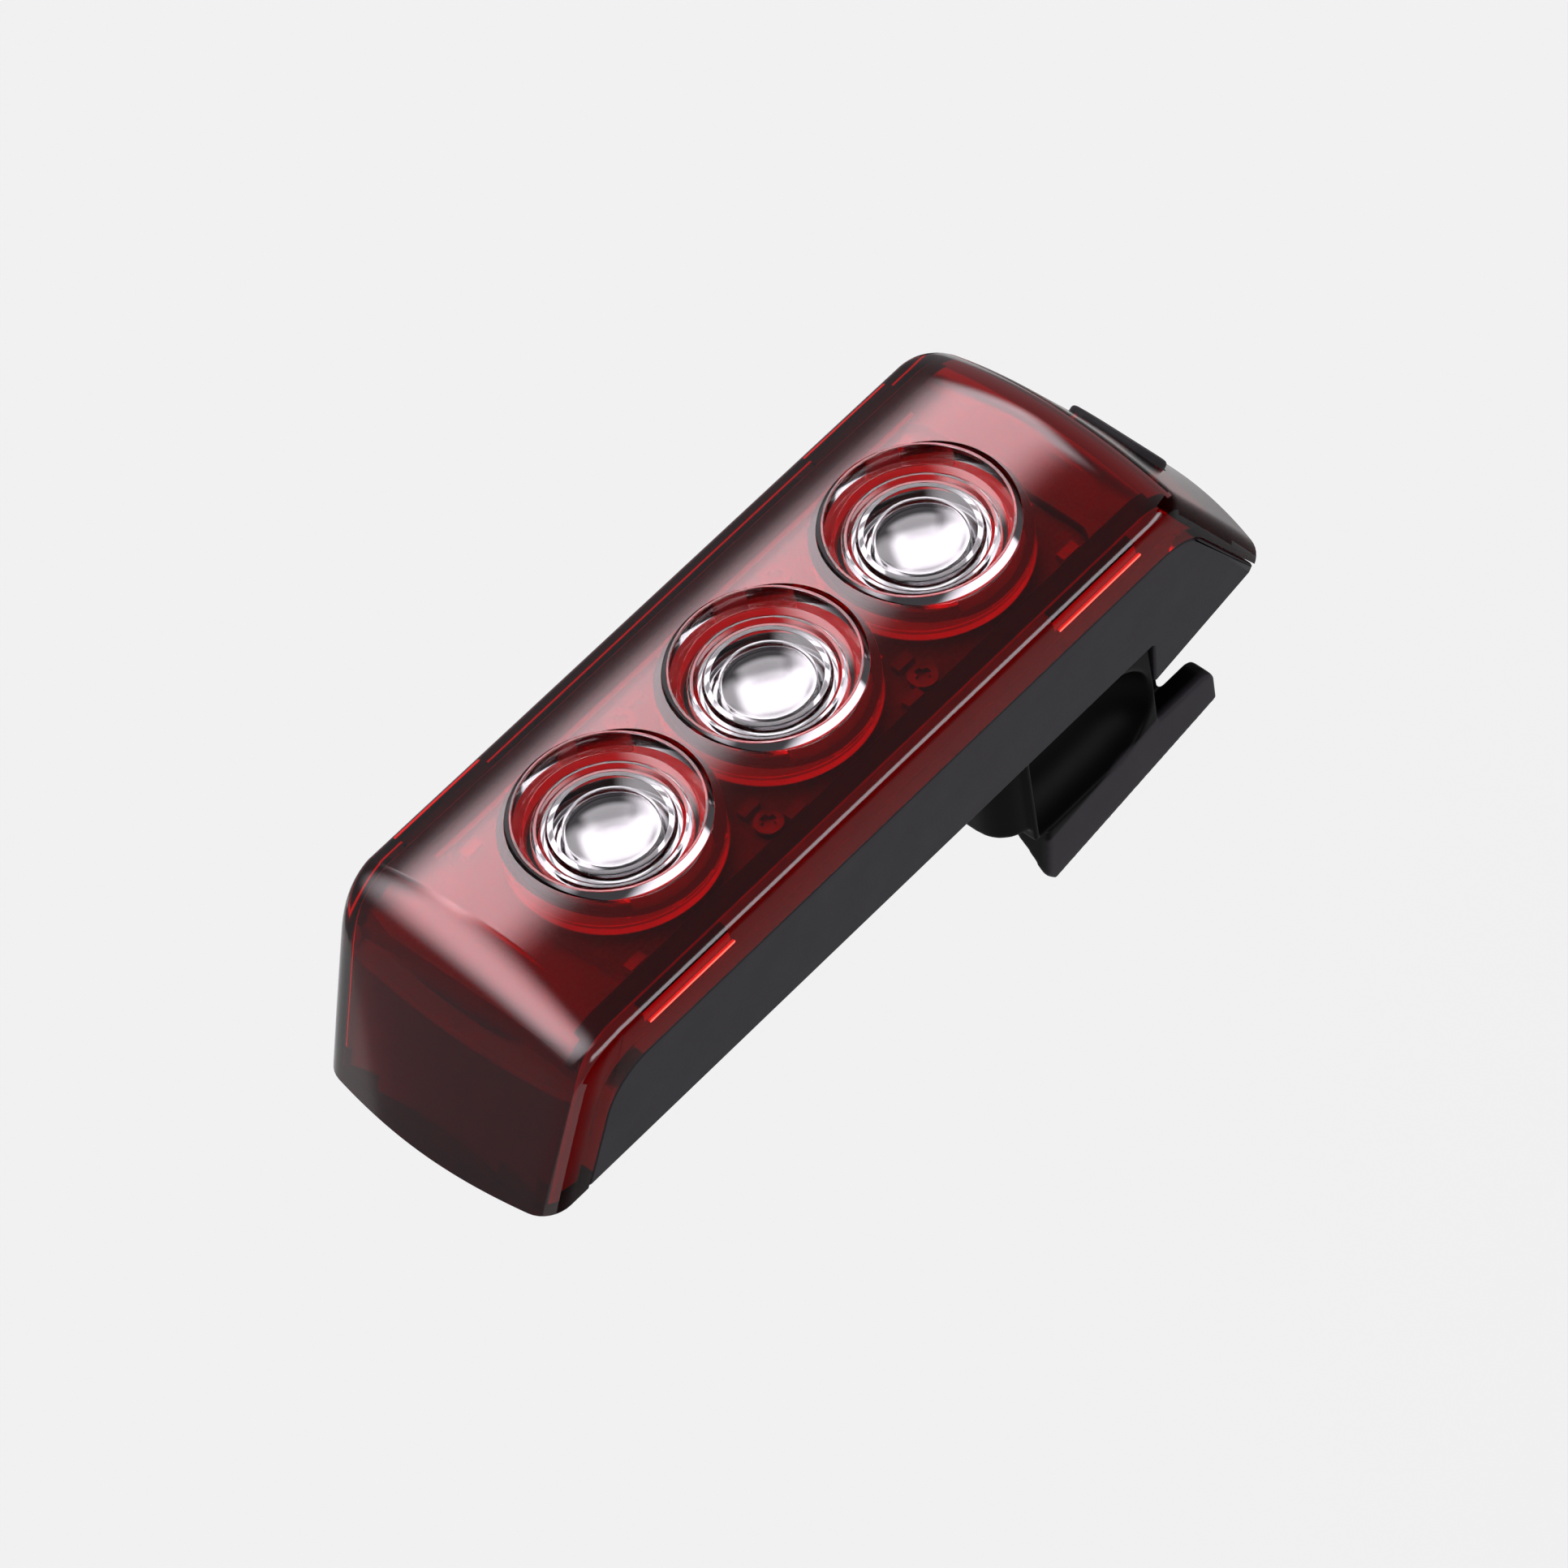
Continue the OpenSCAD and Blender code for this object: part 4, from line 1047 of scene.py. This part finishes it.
@dataclass
class LensUnit:
    """One clear lens with its bowl, raised ring, dome and silvered back."""

    node: str
    x: float
    rim_up: float = 0.08
    base_r: float = 7.22
    brow_r: float = 7.29
    brow_z: float = -0.40
    rim_r: float = 6.89
    rim_in: float = 6.70
    shoulder_r: float = 6.15
    shoulder_z: float = -1.42
    floor_z: float = -1.72
    ring_out: float = 4.63
    ring_r: float = 4.43
    ring_in: float = 4.03
    ring_z: float = -1.32
    step_r: float = 5.2
    step_z: float = -1.44
    step_in: float = 0.26
    step_top: float = 0.22
    step_out: float = 0.42
    dome_r: float = 3.27
    dome_h: float = 0.85
    dome_gap: float = 0.18
    flange_r: float = 7.9
    flange_z: float = -3.0
    back_z: float = -4.0
    skirt_r: float = 6.9
    skirt_in: float = 6.2
    skirt_z: float = -5.0
    silver_r: float = 5.3
    silver_z: float = -3.34
    steps: int = 160
    dome_steps: int = 24
    soft: tuple[float, ...] = (0, 0.06, 0.10, 0.10, 0.08, 0.06, 0.08, 0.08, 0.06, 0.12, 0.08, 0.06, 0, 0)
    sharp: float = 34.0

    def outline(self) -> tuple[list[Point2], list[int]]:
        """Outline of the lens from the dome's top round to the back.

        Returns:
            The points and the material slot of each stretch.
        """
        ball = (self.dome_r**2 + self.dome_h**2) / (2 * self.dome_h)
        mid = self.floor_z + self.dome_h - ball
        reach = asin(self.dome_r / ball)
        bows = [reach * k / self.dome_steps for k in range(self.dome_steps + 1)]
        dome = [(ball * sin(a), mid + ball * cos(a)) for a in bows]
        rim = rounded(
            [
                dome[-1],
                (self.dome_r + self.dome_gap, self.floor_z),
                (self.ring_in, self.ring_z),
                (self.ring_r, self.ring_z),
                (self.ring_out, self.floor_z),
                (self.step_r - self.step_in, self.floor_z),
                (self.step_r, self.step_z),
                (self.step_r + self.step_top, self.step_z),
                (self.step_r + self.step_out, self.floor_z),
                (self.shoulder_r, self.shoulder_z),
                (self.rim_in, self.rim_up),
                (self.rim_r, self.rim_up),
                (self.brow_r, self.brow_z),
                (self.base_r, self.flange_z),
            ],
            self.soft,
        )
        clear = dome[:-1] + rim + [
            (self.flange_r, self.flange_z),
            (self.flange_r, self.back_z),
            (self.skirt_r, self.back_z),
            (self.skirt_r, self.skirt_z),
            (self.skirt_in, self.skirt_z),
            (self.skirt_in, self.back_z),
            (self.silver_r, self.silver_z),
        ]
        seat = 5  # stretches from the flange's side to the silvered back
        slots = [LensFace.CLEAR] * (len(clear) - seat - 1) + [LensFace.SEAT] * seat + [LensFace.SILVER]
        slots[clear.index((self.brow_r, self.brow_z)) - 1] = LensFace.SILVER
        return clear + [(0.0, self.silver_z)], slots

    def build(self, origin: Vector, palette: Palette) -> Obj:
        """Make the lens.

        Args:
            origin: Place of the lens row's origin in the shared frame.
            palette: All finishes.

        Returns:
            The lens.
        """
        points, slots = self.outline()
        shape = Shape()
        shape.turned(points, slots, (self.x, 0.0), self.steps)
        lens = shape.to_object(self.node + "_glass")
        settle(lens, origin, self.sharp)
        palette.dress(lens, "lens_clear", "lens_silver", "lens_seat")
        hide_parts(self.node)
        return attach(lens, BODY)


@dataclass
class GlintBeads:
    """Thin glowing beads that paint glints: on the lips of the lens seals, along the frame's rails and along
    the lines of the side guides.
    """

    seal: Point3 = (7.80, -3.0, 0.09)
    lip_half: Point2 = (24.66, 8.71)
    lip_z: float = -4.18
    lip_bead: float = 0.13
    guide_run: float = 8.6
    guide_bead: float = 0.13
    guide_out: float = 0.03
    guide_deep: float = 0.25
    sharp: float = 60.0

    def guide_glint_lines(self) -> Shape:
        """Rounded glowing lines of the side guides in the cover's side walls: painted glints."""
        form, shape = BodyForm(), Shape()
        r, run = self.guide_bead, self.guide_run
        for sx, sy in CORNERS:
            outline = []
            for a in turns(24):
                shift = copysign(run / 2 - r, cos(a))
                outline.append((sx * GUIDE_X + shift + r * cos(a), GUIDE_Z + r * sin(a)))
            walls = [
                [Vector((px, sy * (form.half_at(pz) + d), pz)) for px, pz in outline]
                for d in (-self.guide_deep, self.guide_out)
            ]
            shape.prism(*walls)
        return shape

    def rails(self) -> Shape:
        """Straight glowing lips of the frame on both sides of the board: painted glints."""
        shape = Shape()
        (x, y), r = self.lip_half, self.lip_bead
        for sy in (-1, 1):
            mid = Vector((0.0, sy * y, self.lip_z))
            shape.box(mid - Vector((x, r, r)), mid + Vector((x, r, r)))
        return shape

    def build(self, origin: Vector, palette: Palette) -> list[Obj]:
        """Make the glowing beads of painted glints.

        Args:
            origin: Place of the lens row's origin in the shared frame.
            palette: All finishes.

        Returns:
            The glowing beads: the lips of the seals, the rails and the guides' lines.
        """
        r, z, bead = self.seal
        lips = Shape()
        for x in LENS_ROW.values():
            lips.loop([Vector((x + r * cos(a), r * sin(a), z)) for a in turns(96)], bead)
        made = []
        pieces = (
            (lips, "seal_glint_lips", "seal_glint_red", "seal_red"),
            (self.rails(), "frame_rail_glints", "rail_glint_red", "frame_dark"),
            (self.guide_glint_lines(), "guide_glint_lines", "guide_line", "guide_red"),
        )
        for shape, name, finish, slot in pieces:
            obj = shape.to_object(name)
            settle(obj, origin, self.sharp)
            palette.dress(obj, finish)
            made.append(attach(obj, BODY))
        return made


SOFT_EDGES = {"rear_housing": 0.22, "power_button": 0.3, "port_cover": 0.2}
OTHER_FINISH = {"board_screws": "screw_dark", "side_leds": "led_dim"}


@dataclass
class FramePieces:
    """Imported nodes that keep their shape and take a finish, some with softened edges."""

    segments: int = 3
    moulded: str = "mount_foot"
    voxel: float = 0.10
    passes: int = 50
    kept_share: float = 0.2
    weld_gap: float = 0.002
    flat_angle: float = radians(0.6)
    edge_angle: float = radians(32)

    def ease(self, obj: Obj, width: float) -> None:
        """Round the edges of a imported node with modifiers.

        Args:
            obj: Object of the node.
            width: Width of the rounding in millimetres.
        """
        modify(obj, "weld", "WELD", merge_threshold=self.weld_gap * MM)
        modify(obj, "flat", "DECIMATE", decimate_type="DISSOLVE", angle_limit=self.flat_angle)
        bevel = {"width": width * MM, "segments": self.segments, "limit_method": "ANGLE"}
        bevel |= {"angle_limit": self.edge_angle, "use_clamp_overlap": False}
        modify(obj, "soft", "BEVEL", harden_normals=True, miter_outer="MITER_ARC", **bevel)

    def melt(self, obj: Obj) -> None:
        """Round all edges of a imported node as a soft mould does.

        Args:
            obj: Object of the node.
        """
        modify(obj, "mesh", "REMESH", mode="VOXEL", voxel_size=self.voxel * MM, use_smooth_shade=True)
        modify(obj, "even", "SMOOTH", factor=0.5, iterations=self.passes)
        modify(obj, "fewer", "DECIMATE", ratio=self.kept_share)

    def dress(self, frame: dict, palette: Palette) -> None:
        """Give every shown node its finish.

        Args:
            palette: All finishes.
        """
        for part in frame["record"]["subparts"]:
            node, slot = part["node"], part["material_slot"]
            obj = frame["nodes"][node]
            palette.dress(obj, OTHER_FINISH.get(node, slot))
            if node in SOFT_EDGES:
                self.ease(obj, SOFT_EDGES[node])
            if node == self.moulded:
                self.melt(obj)
            LOG.info("dressed %s in %s", node, slot)


@dataclass(frozen=True)
class Softbox:
    """Soft window of light in the sky, by compass angle and height in degrees."""

    azimuth: float
    elevation: float
    half_width: float
    half_height: float
    softness: float
    strength: float

    def axes(self) -> tuple[Vector, Vector, Vector]:
        """Direction, side and up vectors of the window."""
        a, e = radians(self.azimuth), radians(self.elevation)
        ahead = Vector((cos(e) * cos(a), cos(e) * sin(a), sin(e)))
        side = Vector((-sin(a), cos(a), 0.0))
        return ahead, side, ahead.cross(side)


@dataclass
class Studio:
    """Camera, pale floor and soft light."""

    eye: Point3 = (-0.25518, -0.31126, 0.51281)
    right: Point3 = (0.67028, -0.73400, -0.10942)
    up: Point3 = (0.63458, 0.49045, 0.59730)
    back: Point3 = (-0.38475, -0.46980, 0.79452)
    lens: float = 216.30
    pale: float = 0.871
    floor_z: float = -0.10
    floor_half: float = 0.26
    shadow: float = 0.15
    floor_color: float = 0.4
    low_sky: float = 0.35
    high_sky: float = 0.20
    sky_span: Point2 = (0.1, 0.8)
    tint: Color = (1.0, 0.955, 1.01)
    boxes: tuple[Softbox, ...] = (
        Softbox(55.0, 44.0, 0.38, 0.27, 0.11, 6.8),
        Softbox(138.0, 49.0, 0.75, 0.34, 0.28, 7.4),
        Softbox(-80.0, 21.0, 1.15, 0.22, 0.10, 6.0),
    )

    def camera(self, origin: Vector) -> None:
        """Place the camera at the photograph's viewing angle.

        Args:
            origin: Place of the lens row's origin in the shared frame.
        """
        data = bpy.data.cameras.new("camera")
        data.sensor_width, data.lens = 36.0, self.lens
        data.clip_start, data.clip_end = 0.01, 50.0
        obj = bpy.data.objects.new("camera", data)
        turn = Matrix((self.right, self.up, self.back)).transposed().to_4x4()
        obj.matrix_world = Matrix.Translation(Vector(self.eye) + origin) @ turn
        bpy.context.scene.collection.objects.link(obj)
        bpy.context.scene.camera = obj

    def floor(self) -> None:
        """Lay the pale floor, which keeps a soft shadow."""
        h, z = self.floor_half, self.floor_z
        mesh = bpy.data.meshes.new("floor")
        mesh.from_pydata([(-h, -h, z), (h, -h, z), (h, h, z), (-h, h, z)], [], [[0, 1, 2, 3]])
        obj = bpy.data.objects.new("floor", mesh)
        bpy.context.scene.collection.objects.link(obj)
        mat = bpy.data.materials.new("floor_pale")
        mat.use_nodes = True
        kit = NodeKit(mat.node_tree)
        grey = {"Base Color": (self.floor_color,) * 3 + (1.0,), "Roughness": 0.9, "Specular IOR Level": 0.1}
        shader = kit.feed(kit.nodes["Principled BSDF"], grey)
        glow = kit.new("Emission", {"Color": WHITE, "Strength": self.pale})
        path = kit.new("LightPath").outputs
        seen = kit.math("ADD", path["Is Camera Ray"], path["Is Glossy Ray"], clamp=True)
        seen = kit.math("ADD", seen, path["Is Transmission Ray"], clamp=True)
        share = kit.math("MULTIPLY", seen, 1.0 - self.shadow)
        top = kit.new("MixShader", {"Fac": share, 1: shader.outputs[0], 2: glow.outputs[0]})
        below, clear = kit.new("NewGeometry").outputs["Backfacing"], kit.new("BsdfTransparent")
        both = kit.new("MixShader", {"Fac": below, 1: top.outputs[0], 2: clear.outputs[0]})
        kit.feed(kit.nodes["Material Output"], {"Surface": both.outputs[0]})
        mesh.materials.append(mat)

    def sky(self, palette: Palette) -> None:
        """Light the room with a pale sky and soft windows.

        Args:
            palette: All finishes, with the shared groups.
        """
        world = bpy.data.worlds.new("room")
        bpy.context.scene.world = world
        world.use_nodes = True
        kit = NodeKit(world.node_tree)
        height = kit.split(kit.new("TexCoord").outputs["Generated"])[2]
        total = kit.ramp(height, self.sky_span, (self.low_sky, self.high_sky))
        for box in self.boxes:
            sizes = (box.half_width, box.half_height, box.softness)
            window = dict(zip(WINDOW_AXES + WINDOW_SIZES, (*box.axes(), *sizes)))
            mask = kit.group(palette.groups.softbox, window).outputs["Mask"]
            total = kit.math("MULTIPLY_ADD", mask, box.strength, total)
        camera = kit.new("LightPath").outputs["Is Camera Ray"]
        strength = kit.mix(camera, total, self.pale, "FLOAT")
        hue = kit.mix(camera, (*self.tint, 1.0), WHITE)
        kit.feed(kit.nodes["Background"], {"Strength": strength, "Color": hue})


def main() -> None:
    """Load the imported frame, dress it and light it."""
    logging.basicConfig(level=logging.INFO, format="%(name)s: %(message)s")
    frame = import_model()
    low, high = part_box("lens_middle")
    origin = Vector(((low.x + high.x) / 2, (low.y + high.y) / 2, high.z - LensUnit.rim_up * MM))
    bpy.context.scene.view_settings.view_transform = "Standard"
    palette = Palette()
    studio = Studio()
    studio.camera(origin)
    studio.floor()
    studio.sky(palette)
    FramePieces().dress(frame, palette)
    LOG.info("made %s", LensCover().build(origin, palette).name)
    for node, x in LENS_ROW.items():
        LOG.info("made %s", LensUnit(node, x).build(origin, palette).name)
    for piece in GlintBeads().build(origin, palette):
        LOG.info("made %s", piece.name)


if __name__ == "__main__":
    main()
